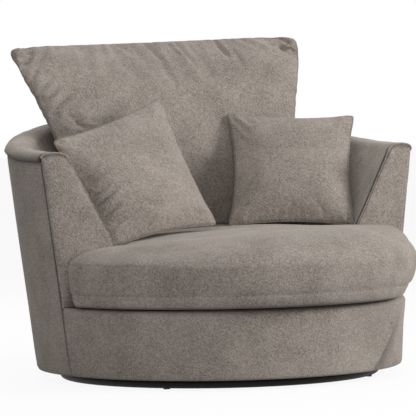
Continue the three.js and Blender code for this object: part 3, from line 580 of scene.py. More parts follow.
def marks_of(piece: bpy.types.Object, name: str = SEAM_AND_SHADE) -> np.ndarray:
    """The numbers stored on the points of a mesh."""
    found = np.empty(len(piece.data.vertices), np.float32)
    piece.data.attributes[name].data.foreach_get("value", found)
    return found


def raise_points(piece: bpy.types.Object, heights: np.ndarray) -> None:
    """Moves the points of a mesh outwards, each by its own height in millimetres."""
    set_points(piece, points_of(piece) + normals_of(piece) * (heights * MM)[:, None])


def moved(points: np.ndarray, turn: Matrix) -> np.ndarray:
    """Points, one a row, moved by a matrix."""
    matrix = np.array(turn)
    return points @ matrix[:3, :3].T + matrix[:3, 3]


def nearest_step(share: np.ndarray, steps: int) -> np.ndarray:
    """The number of the grid step at a share from -1 to 1."""
    return np.rint((share + 1) / 2 * steps).astype(int)


def surface_of(piece: bpy.types.Object) -> BVHTree:
    """The surface of a mesh, for finding the nearest place on it."""
    faces = [tuple(face.vertices) for face in piece.data.polygons]
    return BVHTree.FromPolygons([Vector(point) for point in points_of(piece)], faces)


def side_of(line: np.ndarray) -> np.ndarray:
    """The direction square to a line of radius and height, away from the wall, at each point."""
    along = np.gradient(line, axis=0)
    along /= np.linalg.norm(along, axis=1)[:, None]
    return np.column_stack([along[:, 1], -along[:, 0]])


def woven(name: str, columns: int, rows: int, place: Place, seam: Place | None = None) -> bpy.types.Object:
    """A grid of cloth laid out by a rule.

    Args:
        name: the piece's name.
        columns: quads along the first share.
        rows: quads along the second share.
        place: gives a point in millimetres for two shares from -1 to 1.
        seam: gives the mark of dark seam lines and painted shade for the same shares.

    Returns:
        The new object, in metres.
    """
    bpy.ops.object.select_all(action="DESELECT")
    bpy.ops.mesh.primitive_grid_add(x_subdivisions=columns, y_subdivisions=rows, size=2)
    piece = bpy.context.object
    piece.name = piece.data.name = name
    flat = points_of(piece)
    set_points(piece, place(flat[:, 0], flat[:, 1]) * MM)
    mark(piece, seam(flat[:, 0], flat[:, 1]) if seam else np.zeros(len(flat)))
    return piece


def in_edit_mode(piece: bpy.types.Object, *steps: Callable[[], object]) -> None:
    """Runs operators on the whole of a mesh in edit mode.

    Args:
        piece: the mesh object.
        *steps: the operators, in order.
    """
    select_only(piece)
    bpy.ops.object.mode_set(mode="EDIT")
    bpy.ops.mesh.select_all(action="SELECT")
    for step in steps:
        step()
    bpy.ops.object.mode_set(mode="OBJECT")


def merged(piece: bpy.types.Object, distance: float = 0.00002) -> bpy.types.Object:
    """Closes a mesh where its points meet, and turns its faces outwards.

    Args:
        piece: the mesh object.
        distance: how close points are merged, in metres.

    Returns:
        The same object.
    """
    in_edit_mode(
        piece,
        lambda: bpy.ops.mesh.remove_doubles(threshold=distance),
        lambda: bpy.ops.mesh.dissolve_degenerate(threshold=distance / 2),
        lambda: bpy.ops.mesh.normals_make_consistent(inside=False),
    )
    return piece


def smoothed(piece: bpy.types.Object) -> bpy.types.Object:
    """Shades a mesh smooth."""
    select_only(piece)
    bpy.ops.object.shade_smooth()
    return piece


def joined(name: str, *pieces: bpy.types.Object) -> bpy.types.Object:
    """Joins meshes into one.

    Args:
        name: the joined piece's name.
        *pieces: the meshes.

    Returns:
        The joined object.
    """
    select_only(*pieces)
    bpy.ops.object.join()
    piece = bpy.context.object
    piece.name = piece.data.name = name
    return piece


def with_modifier(piece: bpy.types.Object, kind: str, **settings: object) -> bpy.types.Object:
    """Applies one modifier to a mesh.

    Args:
        piece: the mesh object.
        kind: the modifier's type.
        **settings: its properties.

    Returns:
        The same object.
    """
    modifier = piece.modifiers.new(kind.lower(), kind)
    for key, value in settings.items():
        setattr(modifier, key, value)
    select_only(piece)
    bpy.ops.object.modifier_apply(modifier=modifier.name)
    return piece


def tube(name: str, path: np.ndarray, radius: float) -> bpy.types.Object:
    """A round welt along a path.

    Args:
        name: the piece's name.
        path: points in millimetres.
        radius: its radius in millimetres.

    Returns:
        The new mesh object.
    """
    curve = bpy.data.curves.new(name, "CURVE")
    curve.dimensions = "3D"
    curve.bevel_depth = radius * MM
    curve.bevel_resolution = 3
    curve.use_fill_caps = True
    spline = curve.splines.new("POLY")
    spline.points.add(len(path) - 1)
    for point, where in zip(spline.points, path * MM):
        point.co = (*where, 1.0)
    piece = bpy.data.objects.new(name, curve)
    bpy.context.scene.collection.objects.link(piece)
    select_only(piece)
    bpy.ops.object.convert(target="MESH")
    piece = bpy.context.object
    piece.name = piece.data.name = name
    mark(piece, np.zeros(len(piece.data.vertices)))
    return smoothed(piece)


def eased(low: float, high: float, value: np.ndarray) -> np.ndarray:
    """A smooth step from 0 at low to 1 at high.

    Args:
        low: where it starts.
        high: where it ends.
        value: where it is read.

    Returns:
        The step's values.
    """
    share = np.clip((value - low) / (high - low), 0, 1)
    return share * share * (3 - 2 * share)


def wander(points: np.ndarray, wavelength: float, seed: float = 0.0) -> np.ndarray:
    """Smooth noise at each point.

    Args:
        points: places in millimetres, one a row.
        wavelength: the size of its waves in millimetres.
        seed: shifts it, so that two uses differ.

    Returns:
        Values round 0, from about -1 to 1.
    """
    shift = Vector((seed * 7.13, seed * 3.71, seed * 5.37))
    return np.array([noise.noise(Vector(p) / wavelength + shift) for p in points])


def curve_through(points: Sequence[Sequence[float]], count: int, corners: Iterable[int] = ()) -> np.ndarray:
    """A smooth line through points, with even steps.

    Args:
        points: the points that it passes.
        count: how many points it gets.
        corners: numbers of the points where it stays sharp.

    Returns:
        The line's points.
    """
    given = np.array(points, float)
    sharp = set(corners)
    fine = []
    last = len(given) - 1
    for i in range(last):
        before = given[i] if i == 0 or i in sharp else given[i - 1]
        after = given[i + 1] if i + 1 == last or i + 1 in sharp else given[i + 2]
        a, b = given[i], given[i + 1]
        span = np.linalg.norm(b - a)
        lead = (b - before) * span / max(np.linalg.norm(b - a) + np.linalg.norm(a - before), 1e-9)
        trail = (after - a) * span / max(np.linalg.norm(after - b) + np.linalg.norm(b - a), 1e-9)
        for t in np.linspace(0, 1, 24, endpoint=False):
            h = (2 * t**3 - 3 * t**2 + 1, t**3 - 2 * t**2 + t, -2 * t**3 + 3 * t**2, t**3 - t**2)
            fine.append(h[0] * a + h[1] * lead + h[2] * b + h[3] * trail)
    fine.append(given[-1])
    line = np.array(fine)
    length = np.concatenate([[0], np.cumsum(np.linalg.norm(np.diff(line, axis=0), axis=1))])
    even = np.linspace(0, length[-1], count)
    return np.stack([np.interp(even, length, line[:, k]) for k in range(line.shape[1])], axis=1)


def even_loop(points: np.ndarray, count: int) -> np.ndarray:
    """A closed line with even steps.

    Args:
        points: the line, whose last point meets its first.
        count: how many steps it gets.

    Returns:
        One point more than the steps, the last on the first.
    """
    length = np.concatenate([[0], np.cumsum(np.linalg.norm(np.diff(points, axis=0), axis=1))])
    even = np.linspace(0, length[-1], count + 1)
    return np.stack([np.interp(even, length, points[:, k]) for k in range(points.shape[1])], axis=1)


@dataclass(frozen=True)
class Fold:
    """A soft fold in cloth between two places on a face, in millimetres."""

    start: tuple[float, float]
    end: tuple[float, float]
    depth: float = 4.0
    width: float = 8.0
    bank: float = 0.55

    def height(self, x: np.ndarray, z: np.ndarray) -> np.ndarray:
        """The fold's relief: a valley with a low bank along one side.

        Args:
            x: places across the face.
            z: places up the face.

        Returns:
            The relief in millimetres.
        """
        fade, aside = self._place(x, z)
        bank = self.bank * np.exp(-(((aside - 1.7) / 1.1) ** 2))
        return self.depth * fade * (bank - np.exp(-(aside**2)))

    def shade(self, x: np.ndarray, z: np.ndarray) -> np.ndarray:
        """How deep a place lies in the shade at the fold's banked side, from 0 to 1."""
        fade, aside = self._place(x, z)
        return fade * eased(-0.3, 0.7, aside) * np.exp(-((aside / 3.6) ** 2))

    def _place(self, x: np.ndarray, z: np.ndarray) -> tuple[np.ndarray, np.ndarray]:
        """The fold's strength along its run at places on the face, and their distance aside in widths."""
        run_x, run_z = self.end[0] - self.start[0], self.end[1] - self.start[1]
        length = math.hypot(run_x, run_z)
        along = ((x - self.start[0]) * run_x + (z - self.start[1]) * run_z) / length**2
        aside = ((x - self.start[0]) * run_z - (z - self.start[1]) * run_x) / length / self.width
        return eased(-0.25, 0.15, along) * eased(1.25, 0.55, along), aside


# The chair's shared forms, in millimetres


@dataclass(frozen=True)
class TubForm:
    """The leaning round wall of the tub and the curve of its front."""

    centre_y: float = 13.0
    hem_height: float = 30.0
    hem_radius: float = 540.0
    rim_radius: float = 618.0
    rim_at_arms: float = 662.0
    rim_at_back: float = 761.0
    roll_width: float = 80.0
    roll_height: float = 14.0
    roll_drop_share: float = 0.75
    seat_line: float = 430.0
    inner_slope: float = 0.5
    lower_inner_slope: float = 0.21
    arm_front_y: float = -97.0
    arm_front_turn: float = math.radians(6)
    front_reach: float = 553.0
    border_top: float = 230.0
    border_roll: float = 18.0
    cover_foot: float = 204.3
    deck_top: float = 233.9
    pad_bottom: float = 215.6

    def plane_drop(self) -> float:
        """Distance from the tub's centre to the arms' cut plane, along the axis."""
        return self.centre_y + math.tan(self.arm_front_turn) * self.rim_radius - self.arm_front_y

    def end_angle(self, radius: np.ndarray, ahead: float = 0.0) -> np.ndarray:
        """Angle at which a circle about the tub's centre meets the arms' cut plane.

        Args:
            radius: the circle's radius.
            ahead: how far ahead of the plane.

        Returns:
            The angle from the back, in radians.
        """
        run = self.plane_drop() * math.cos(self.arm_front_turn) + ahead
        return np.arccos(-run / np.asarray(radius, float)) - self.arm_front_turn

    def rim(self, share: np.ndarray) -> np.ndarray:
        """Height of the rim at a share of the way round, from -1 at the left arm to 1."""
        rise = (1 + np.cos(math.pi * np.asarray(share, float))) / 2
        return self.rim_at_arms + (self.rim_at_back - self.rim_at_arms) * rise

    def outer(self, height: np.ndarray, share: np.ndarray) -> np.ndarray:
        """Radius of the wall's outside at a height."""
        lean = (self.rim_radius - self.hem_radius) / (self.rim(share) - self.hem_height)
        return self.hem_radius + lean * (height - self.hem_height)

    def face_top(self, share: np.ndarray) -> np.ndarray:
        """Height at which the inner face meets the roll."""
        return self.rim(share) - self.roll_height * self.roll_drop_share

    def inner(self, height: np.ndarray, share: np.ndarray) -> np.ndarray:
        """Radius of the wall's inner face at a height."""
        above = np.maximum(height, self.seat_line)
        below = np.minimum(height - self.seat_line, 0)
        start = self.rim_radius - self.roll_width
        return start - self.inner_slope * (self.face_top(share) - above) + self.lower_inner_slope * below

    def wall(self, radius: np.ndarray, height: np.ndarray, share: np.ndarray, ahead: float = 0.0) -> np.ndarray:
        """A point of the wall.

        Args:
            radius: distance from the tub's centre.
            height: height above the floor.
            share: way round, from -1 at the left arm's front to 1 at the right arm's.
            ahead: how far ahead of the arms' cut plane the wall ends.

        Returns:
            The point or points, one a row.
        """
        angle = share * self.end_angle(radius, ahead)
        x = radius * np.sin(angle)
        y = self.centre_y + radius * np.cos(angle)
        return np.stack(np.broadcast_arrays(x, y, height), axis=-1)

    def front(self, share: np.ndarray, height: np.ndarray, inset: np.ndarray, ahead: float = 0.3) -> np.ndarray:
        """A point of the curved front below the seat.

        Args:
            share: way across, from -1 at the left to 1 at the right.
            height: height above the floor.
            inset: distance in from the front's face.
            ahead: how far ahead of the arms' cut plane it ends.

        Returns:
            The point or points, one a row.
        """
        height = np.asarray(height, float)
        corner = self.wall(self.outer(height, 1.0), height, 1.0)
        square = corner[..., 0] ** 2 + corner[..., 1] ** 2 - self.front_reach**2
        centre = square / (2 * (self.front_reach + corner[..., 1]))
        radius = centre + self.front_reach - inset
        run = (centre + self.plane_drop() - self.centre_y) * math.cos(self.arm_front_turn)
        end = self.arm_front_turn + np.arccos((run + ahead) / radius)
        x = radius * np.sin(share * end)
        y = centre - radius * np.cos(share * end)
        return np.stack(np.broadcast_arrays(x, y, height), axis=-1)


FORM = TubForm()


# The photographer's corner


@dataclass(frozen=True)
class Viewpoint:
    """The camera of the photograph."""

    azimuth: float = math.radians(-25.83)
    extra_yaw: float = 0.002744
    distance: float = 9.52181
    height: float = 0.85566
    pitch: float = math.radians(2.15)
    roll: float = math.radians(-1.06)
    focal_pixels: float = 3194.46
    frame_pixels: float = 416.0
    sensor: float = 36.0

    def make(self) -> None:
        """Puts the camera in the scene."""
        data = bpy.data.cameras.new("camera")
        data.sensor_width = self.sensor
        data.lens = self.sensor * self.focal_pixels / self.frame_pixels
        data.clip_end = 100.0
        camera = bpy.data.objects.new("camera", data)
        bpy.context.scene.collection.objects.link(camera)
        yaw = self.azimuth + self.extra_yaw
        across = Vector((math.cos(yaw), math.sin(yaw), 0))
        level = Vector((-math.sin(yaw), math.cos(yaw), 0))
        upright = Vector((0, 0, 1))
        ahead = level * math.cos(self.pitch) - upright * math.sin(self.pitch)
        up = level * math.sin(self.pitch) + upright * math.cos(self.pitch)
        right = across * math.cos(self.roll) + up * math.sin(self.roll)
        top = up * math.cos(self.roll) - across * math.sin(self.roll)
        place = Vector(
            (math.sin(self.azimuth) * self.distance, -math.cos(self.azimuth) * self.distance, self.height)
        )
        turn = Matrix((right, top, -ahead)).transposed()
        camera.matrix_world = Matrix.Translation(place) @ turn.to_4x4()
        bpy.context.scene.camera = camera


@dataclass(frozen=True)
class Lamp:
    """One soft rectangular lamp."""

    name: str
    place: tuple[float, float, float]
    aim: tuple[float, float, float]
    size: float
    power: float

    def make(self) -> None:
        """Hangs the lamp."""
        data = bpy.data.lights.new(self.name, "AREA")
        data.shape = "SQUARE"
        data.size = self.size
        data.energy = self.power
        lamp = bpy.data.objects.new(self.name, data)
        bpy.context.scene.collection.objects.link(lamp)
        lamp.location = self.place
        away = Vector(self.aim) - Vector(self.place)
        lamp.rotation_euler = away.to_track_quat("-Z", "Y").to_euler()


@dataclass(frozen=True)
class Studio:
    """A pale floor, a white surround and soft lamps."""

    lamps: tuple[Lamp, ...] = (
        Lamp("main lamp", (3.2, -2.6, 2.0), (0, 0, 0.45), 1.4, 120.0),
        Lamp("front lamp", (-1.9, -4.0, 2.6), (0, 0, 0.45), 2.0, 40.0),
        Lamp("left lamp", (-3.8, -2.0, 1.6), (0, 0, 0.45), 1.6, 13.0),
        Lamp("back lamp", (0.5, 3.0, 2.8), (0, 0, 0.45), 2.0, 46.0),
        Lamp("overhead lamp", (0.0, -0.3, 3.2), (0, 0, 0.45), 2.5, 18.0),
    )
    ambient: float = 0.26
    floor_colour: float = 0.5
    floor_glow: float = 0.92

    def build(self) -> None:
        """Builds the room."""
        bpy.context.scene.view_settings.view_transform = "Standard"
        for lamp in self.lamps:
            lamp.make()
        self._make_world()
        self._make_floor()

    @staticmethod
    def _seen(shader: Shader) -> Sock:
        """1 for camera, glossy and transmission rays, 0 for the rays that light the object."""
        path = shader.node("ShaderNodeLightPath")
        rays = [Sock(shader.tree, path.outputs[n]) for n in ("Is Camera Ray", "Is Glossy Ray", "Is Transmission Ray")]
        return (rays[0] + rays[1] + rays[2]).clamped()

    def _make_world(self) -> None:
        """White where it is seen, a level grey where it lights."""
        world = bpy.data.worlds.new("studio")
        bpy.context.scene.world = world
        shader = Shader(world)
        seen = self._seen(shader)
        lit = shader.node("ShaderNodeBackground", inputs={"Color": (1, 1, 1, 1), "Strength": self.ambient})
        shown = shader.node("ShaderNodeBackground", inputs={"Color": (1, 1, 1, 1), "Strength": 1.0})
        both = shader.node(
            "ShaderNodeMixShader", inputs={0: seen, 1: lit.outputs[0], 2: shown.outputs[0]}
        )
        shader.node("ShaderNodeOutputWorld", inputs={"Surface": both.outputs[0]})

    def _make_floor(self) -> None:
        """A wide floor that keeps a soft shadow."""
        bpy.ops.object.select_all(action="DESELECT")
        bpy.ops.mesh.primitive_plane_add(size=60, location=(0, 0, -0.0005))
        floor = bpy.context.object
        floor.name = "floor"
        shader = Shader.named("pale floor")
        seen = self._seen(shader)
        matt = shader.node("ShaderNodeBsdfDiffuse", inputs={"Color": (self.floor_colour,) * 3 + (1,)})
        bright = shader.node("ShaderNodeBsdfDiffuse", inputs={"Color": (1, 1, 1, 1)})
        glow = shader.node("ShaderNodeEmission", inputs={"Color": (1, 1, 1, 1), "Strength": 1.0})
        shown = shader.node("ShaderNodeMixShader", inputs={0: self.floor_glow, 1: bright.outputs[0], 2: glow.outputs[0]})
        both = shader.node("ShaderNodeMixShader", inputs={0: seen, 1: matt.outputs[0], 2: shown.outputs[0]})
        shader.node("ShaderNodeOutputMaterial", inputs={"Surface": both.outputs[0]})
        floor.data.materials.append(shader.holder)


# The tub's upholstery


@dataclass
class TubUpholstery:
    """The fixed covers of the tub: inside, outside, arm facings, front border, deck and lining."""

    wardrobe: Wardrobe
    columns: int = 300
    lip: float = 2.5
    skin: float = 4.0
    facing_depth: float = 9.3
    facing_crown: float = 7.0
    facing_foot: float = 227.6
    welt_radius: float = 3.2
    lining_hole: float = 172.0
    pieces: list[bpy.types.Object] = field(default_factory=list)

    def build(self) -> list[bpy.types.Object]:
        """Builds and dresses every cover.

        Returns:
            The pieces.
        """
        self._add(self.make_inside_cover(), Slot.VELOUR, ("inside_cover", "tub_padding"))
        self._add(self.make_outside_cover(), Slot.VELOUR, ("outside_cover",))
        self._add(self.make_front_border(), Slot.VELOUR, ("front_border",))
        for side, name in ((-1, "left"), (1, "right")):
            self._add(self.make_facing(side, name), Slot.VELOUR, (f"arm_facing_{name}",))
            self._add(self.make_welt(side, name), Slot.VELOUR, ())
        self._add(self.make_deck(), Slot.DECK_CLOTH, ("deck_pad", "deck_cloth"))
        self._add(self.make_lining(), Slot.LINING, ("dust_cover",))
        return self.pieces

    def _add(self, piece: bpy.types.Object, slot: Slot, nodes: Sequence[str]) -> None:
        """Dresses a piece and ties it to the tub.

        Args:
            piece: the piece.
            slot: its finish.
            nodes: the solids that it stands for.
        """
        self.wardrobe.wear(piece, slot)
        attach(piece, Body.TUB.value)
        if nodes:
            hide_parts(*nodes)
        self.pieces.append(piece)

    @staticmethod
    def roll_and_face(share: float, bottom: float) -> list[tuple[float, float]]:
        """Radius and height of the points over the roll and down the inner face.

        Args:
            share: way round the wall.
            bottom: height where the face ends.

        Returns:
            The points, from the outer edge of the roll.
        """
        top = float(FORM.rim(share))
        shares = ((0.0, 0.0), (0.04, 0.5), (0.26, 0.93), (0.5, 1.0), (0.76, 0.72), (0.93, 0.05))
        roll = [
            (FORM.rim_radius - across * FORM.roll_width, top + up * FORM.roll_height)
            for across, up in shares
        ]
        face_top = float(FORM.face_top(share))
        heights = (face_top, FORM.seat_line + 60, FORM.seat_line, FORM.seat_line - 60, bottom)
        return roll + [(float(FORM.inner(height, share)), height) for height in heights]

    def inside_line(self, share: float, bottom: float, count: int) -> np.ndarray:
        """The inside cover's line, from under its outer seam over the roll and down the face.

        Args:
            share: way round the wall.
            bottom: height where it ends.
            count: how many points it gets.

        Returns:
            Radius and height of each point.
        """
        top = float(FORM.rim(share))
        under = [(FORM.rim_radius - self.lip, top - 7.0), (FORM.rim_radius + self.lip * 0.6, top - 3.5)]
        return curve_through([*under, *self.roll_and_face(share, bottom)], count)

    def wall_cloth(self, name: str, lines: np.ndarray, seam: Place) -> bpy.types.Object:
        """Cloth laid round the wall on lines of radius and height.

        Args:
            name: the piece's name.
            lines: a line for each station, from the left arm to the right.
            seam: gives the mark of dark seam lines and painted shade.

        Returns:
            The cloth, without thickness.
        """
        rows = lines.shape[1] - 1

        def place(u: np.ndarray, v: np.ndarray) -> np.ndarray:
            """A point of the cloth."""
            line = lines[nearest_step(u, self.columns), nearest_step(v, rows)]
            return FORM.wall(line[:, 0], line[:, 1], u)

        return woven(name, self.columns, rows, place, seam)

    def thickened(self, piece: bpy.types.Object) -> bpy.types.Object:
        """Gives a cloth its thickness inwards and shades it smooth."""
        with_modifier(piece, "SOLIDIFY", thickness=self.skin * MM, offset=-1.0, use_rim=True)
        return smoothed(piece)

    def make_inside_cover(self) -> bpy.types.Object:
        """The cover over the roll and down the inner face, with soft drags near the seams."""
        rows = 90
        shares = np.linspace(-1, 1, self.columns + 1)
        lines = np.stack([self.inside_line(s, FORM.cover_foot, rows + 1) for s in shares])

        def seam(u: np.ndarray, v: np.ndarray) -> np.ndarray:
            """Dark lines along the outer seam, and painted shade at the arms' fronts where the joint beside the welt
            lies in shadow.
            """
            down = (v + 1) / 2 * rows
            # Painted shade at both ends, in the joint beside the welt at the arms' fronts.
            ends = np.exp(-(((1 - np.abs(u)) * 1500 / 9.0) ** 2))
            return np.clip(np.exp(-((down / 1.4) ** 2)) + ends, 0, 1)

        piece = self.wall_cloth("inside_cover_cloth", lines, seam)
        points = points_of(piece) / MM
        behind = eased(0, 70, points[:, 1] - FORM.arm_front_y)
        swell = wander(points, 95.0, 1.0) * 2.2 + wander(points, 34.0, 2.0) * 0.9
        high = 0.35 + 0.65 * eased(430.0, 560.0, points[:, 2])
        raise_points(piece, swell * high * behind)
        return self.thickened(piece)

    def make_outside_cover(self) -> bpy.types.Object:
        """The outside of the wall, turned under at the hem."""
        rows = 60
        hem = ((-16.0, 0.4), (-9.0, 0.3), (-3.0, 2.2), (-0.2, 7.0), (0.0, 14.0))

        def line(share: float) -> np.ndarray:
            """Radius and height up the wall at one station."""
            top = float(FORM.rim(share)) - 4.0
            foot = [(FORM.hem_radius + out, FORM.hem_height + up) for out, up in hem]
            heights = [FORM.hem_height + (top - FORM.hem_height) * part for part in (0.08, 0.3, 0.55, 0.8, 0.97)]
            wall = [(float(FORM.outer(height, share)), height) for height in heights]
            return curve_through([*foot, *wall, (float(FORM.outer(top, share)) - 3.0, top)], rows + 1)

        def seam(u: np.ndarray, v: np.ndarray) -> np.ndarray:
            """The shade along the rim and the arms' fronts."""
            ends = np.exp(-(((1 - np.abs(u)) * 1060 / 4.0) ** 2))
            top = np.exp(-(((1 - v) / 2 * rows / 1.1) ** 2))
            return np.clip(ends + top, 0, 1)

        lines = np.stack([line(share) for share in np.linspace(-1, 1, self.columns + 1)])
        piece = self.wall_cloth("outside_cover_cloth", lines, seam)
        in_edit_mode(piece, lambda: bpy.ops.mesh.flip_normals())
        points = points_of(piece) / MM
        off_hem = eased(0, 60, points[:, 2] - FORM.hem_height)
        raise_points(piece, wander(points * np.array([1, 1, 0.35]), 120.0, 3.0) * 1.6 * off_hem)
        return self.thickened(piece)

    def make_front_border(self) -> bpy.types.Object:
        """The cloth below the seat, rolled in at the top and under at the hem."""
        columns, rows = 240, 60
        top, roll, hem = FORM.border_top, FORM.border_roll, FORM.hem_height
        profile = curve_through(
            [
                (16.0, hem + 0.4), (8.0, hem + 0.4), (2.0, hem + 2.6), (0.0, hem + 9.0), (0.0, hem + 60.0),
                (0.0, hem + 120.0), (0.0, top - roll), (roll * 0.14, top - roll * 0.5),
                (roll * 0.5, top - roll * 0.12), (roll, top), (roll + 1.5, top - 1.5),
            ],
            rows + 1,
        )

        def place(u: np.ndarray, v: np.ndarray) -> np.ndarray:
            """A point of the border."""
            inset, height = profile[nearest_step(v, rows)].T
            square = eased(0.955, 0.985, np.abs(u)) * eased(top - roll, top - roll * 0.5, height)
            return FORM.front(u, height + np.maximum(top - 0.6 - height, 0) * square, inset)

        def seam(u: np.ndarray, v: np.ndarray) -> np.ndarray:
            """The dark line where the border meets the wall, and painted shade where it turns in under the seat."""
            row = nearest_step(v, rows)
            # Painted shade on the part turned in under the seat.
            turned = eased(roll * 0.8, roll, profile[row, 0]) * (profile[row, 1] > 200)
            return np.clip(np.exp(-(((1 - np.abs(u)) * 700 / 4.0) ** 2)) + turned, 0, 1)

        piece = woven("front_border_cloth", columns, rows, place, seam)
        points = points_of(piece) / MM
        round_front = np.arctan2(points[:, 0], 330 - points[:, 1]) * 760
        inside = eased(0, 40, points[:, 2] - hem) * eased(0, 34, top - points[:, 2])
        drags = wander(points * np.array([1, 1, 0.6]), 90.0, 4.0) * 1.8 + wander(points, 200.0, 7.0) * 2.4
        folds = sum(fold.height(round_front, points[:, 2]) for fold in self.border_folds())
        raise_points(piece, drags * inside + folds * (0.25 + 0.75 * inside))
        shade = self.border_folds()[0].shade(round_front, points[:, 2])
        mark(piece, np.clip(marks_of(piece) + 0.72 * shade, 0, 1))
        return self.thickened(piece)

    @staticmethod
    def border_folds() -> tuple[Fold, ...]:
        """The drags in the border, by distance round the front and height."""
        return (
            Fold((234.0, 46.0), (374.0, 192.0), -8.0, 11.0, 0.4),
            Fold((-300.0, 60.0), (-390.0, 190.0), 1.6, 22.0),
        )

    def facing_outline(self, count: int) -> np.ndarray:
        """The facing's outline as radius and height, from its outer foot over the roll.

        Args:
            count: how many steps it gets.

        Returns:
            The closed outline's points.
        """
        foot = self.facing_foot
        outside = [(float(FORM.outer(z, 1.0)), z) for z in np.linspace(foot, FORM.rim_at_arms - 3, 6)]
        over = curve_through([outside[-1], *self.roll_and_face(1.0, foot)], 90)
        around = np.vstack([curve_through(outside, 50)[:-1], over])
        closing = np.linspace(around[-1], around[0], 12)[1:-1]
        return even_loop(np.vstack([around, closing, around[:1]]), count)

    def make_facing(self, side: int, name: str) -> bpy.types.Object:
        """The padded panel at the front of an arm.

        Args:
            side: -1 for the left arm, 1 for the right.
            name: the side's name.

        Returns:
            The closed, crowned panel.
        """
        around, rings = 260, 60
        outline = self.facing_outline(around)
        middle = outline[:-1].mean(axis=0)
        depth, crown = self.facing_depth, self.facing_depth + self.facing_crown
        reach = 150.0
        profile = curve_through(
            [(0.0, 0.3), (75, 0.3), (140, 0.3), (148, 1.4), (reach, 4.6), (149, 7.4), (145.5, depth),
             (127, depth + 3.6), (90, depth + 6.0), (45, crown), (0.0, crown)],
            rings + 1,
        ) / np.array([reach, 1.0])

        def place(u: np.ndarray, v: np.ndarray) -> np.ndarray:
            """A point of the panel."""
            share, ahead = profile[nearest_step(v, rings)].T
            line = outline[nearest_step(u, around)]
            radius = middle[0] + (line[:, 0] - middle[0]) * share
            height = np.maximum(middle[1] + (line[:, 1] - middle[1]) * share, self.facing_foot)
            ahead = ahead * (0.3 + 0.7 * eased(self.facing_foot, self.facing_foot + 34, height))
            return np.array([FORM.wall(r, z, float(side), a) for r, z, a in zip(radius, height, ahead)])

        def seam(u: np.ndarray, v: np.ndarray) -> np.ndarray:
            """The shade in the joint behind the panel's edge."""
            share, ahead = profile[nearest_step(v, rings)].T
            return np.exp(-(((ahead - 2.4) / 2.4) ** 2)) * (share > 0.9) + 0 * u

        piece = merged(woven(f"arm_facing_{name}_cloth", around, rings, place, seam))
        points = points_of(piece) / MM
        swell = wander(points, 70.0, 5.0 + side) * 1.5 + wander(points, 26.0, 6.0) * 0.5
        front = eased(FORM.arm_front_y - 2, FORM.arm_front_y - 14, points[:, 1])
        gather = wander(points * np.array([1, 1, 0.16]), 9.0, 12.0 + side)
        under_top = np.exp(-(((FORM.rim_at_arms - 12 - points[:, 2]) / 26.0) ** 2))
        raise_points(piece, (swell + gather * under_top * 3.4) * front)
        self._sink_edge(piece, outline)
        # Painted shade along the facing's inner edge under the roll, in the joint beside the welt.
        below_roll = eased(FORM.rim_at_arms - 2, FORM.rim_at_arms - 18, points[:, 2])
        inner_edge_shade = eased(0.4, 0.75, -side * normals_of(piece)[:, 0]) * below_roll
        mark(piece, np.clip(marks_of(piece) + 0.9 * inner_edge_shade, 0, 1))
        return smoothed(piece)

    @staticmethod
    def _sink_edge(piece: bpy.types.Object, outline: np.ndarray) -> None:
        """Draws the facing in along the line where its welt is sewn.

        Args:
            piece: the facing.
            outline: its outline as radius and height.
        """
        inner = FORM.outer(outline[:, 1], 1.0) - outline[:, 0] > 4
        rim = outline[inner & (outline[:, 1] > FORM.rim_at_arms - 22)]
        points = points_of(piece) / MM
        flat = np.column_stack([np.hypot(points[:, 0], points[:, 1] - FORM.centre_y), points[:, 2]])
        away = np.sqrt(np.min(np.sum((flat[:, None] - rim[None]) ** 2, axis=2), axis=1))
        line = np.exp(-(((away - 4.5) / 2.6) ** 2))
        mark(piece, np.clip(marks_of(piece) + line * 0.65, 0, 1))
        raise_points(piece, -1.5 * line)

    def make_welt(self, side: int, name: str) -> bpy.types.Object:
        """The sewn welt between the inside cover and a facing.

        Args:
            side: -1 for the left arm, 1 for the right.
            name: the side's name.

        Returns:
            The welt.
        """
        line = curve_through(self.roll_and_face(1.0, FORM.deck_top + 1.0), 140)
        out = side_of(line)
        path = [FORM.wall(r, z, float(side), 5.4) for r, z in line + out * 1.4]
        welt = tube(f"arm_welt_{name}", np.array(path), self.welt_radius)
        # Painted shade on the welt's inner side under the roll, where the joint beside it lies in shadow.
        below_roll = eased(FORM.rim_at_arms - 2, FORM.rim_at_arms - 18, points_of(welt)[:, 2] / MM)
        mark(welt, 0.95 * eased(0.15, 0.5, -side * normals_of(welt)[:, 0]) * below_roll)
        return welt

    def deck_outline(self, count: int) -> np.ndarray:
        """The outline of the deck on the plan, closed, with this many steps."""
        height = FORM.pad_bottom
        front = FORM.front(np.linspace(-1, 1, 80), np.full(80, height), 21.0)[:, :2]
        shares = -np.linspace(-1, 1, 120)
        rear = FORM.wall(FORM.inner(height, shares) - 1.0, np.full(120, height), shares)[:, :2]
        return even_loop(np.vstack([front, rear, front[:1]]), count)

    def make_deck(self) -> bpy.types.Object:
        """The padded deck under the seat cushion, with rounded edges."""
        around, rings = 240, 34
        outline = self.deck_outline(around)
        bottom, top = FORM.pad_bottom, FORM.deck_top
        reach = 500.0
        profile = curve_through(
            [(0.0, bottom), (250, bottom), (490, bottom), (498, bottom + 3), (reach, bottom + 9),
             (498, top - 3), (491, top - 0.6), (450, top), (250, top), (0.0, top)],
            rings + 1,
        ) / np.array([reach, 1.0])
        middle = np.array([0.0, -200.0])

        def place(u: np.ndarray, v: np.ndarray) -> np.ndarray:
            """A point of the deck."""
            share, height = profile[nearest_step(v, rings)].T
            plan = middle + (outline[nearest_step(u, around)] - middle) * share[:, None]
            return np.column_stack([plan, height])

        return smoothed(merged(woven("deck_cover", around, rings, place)))

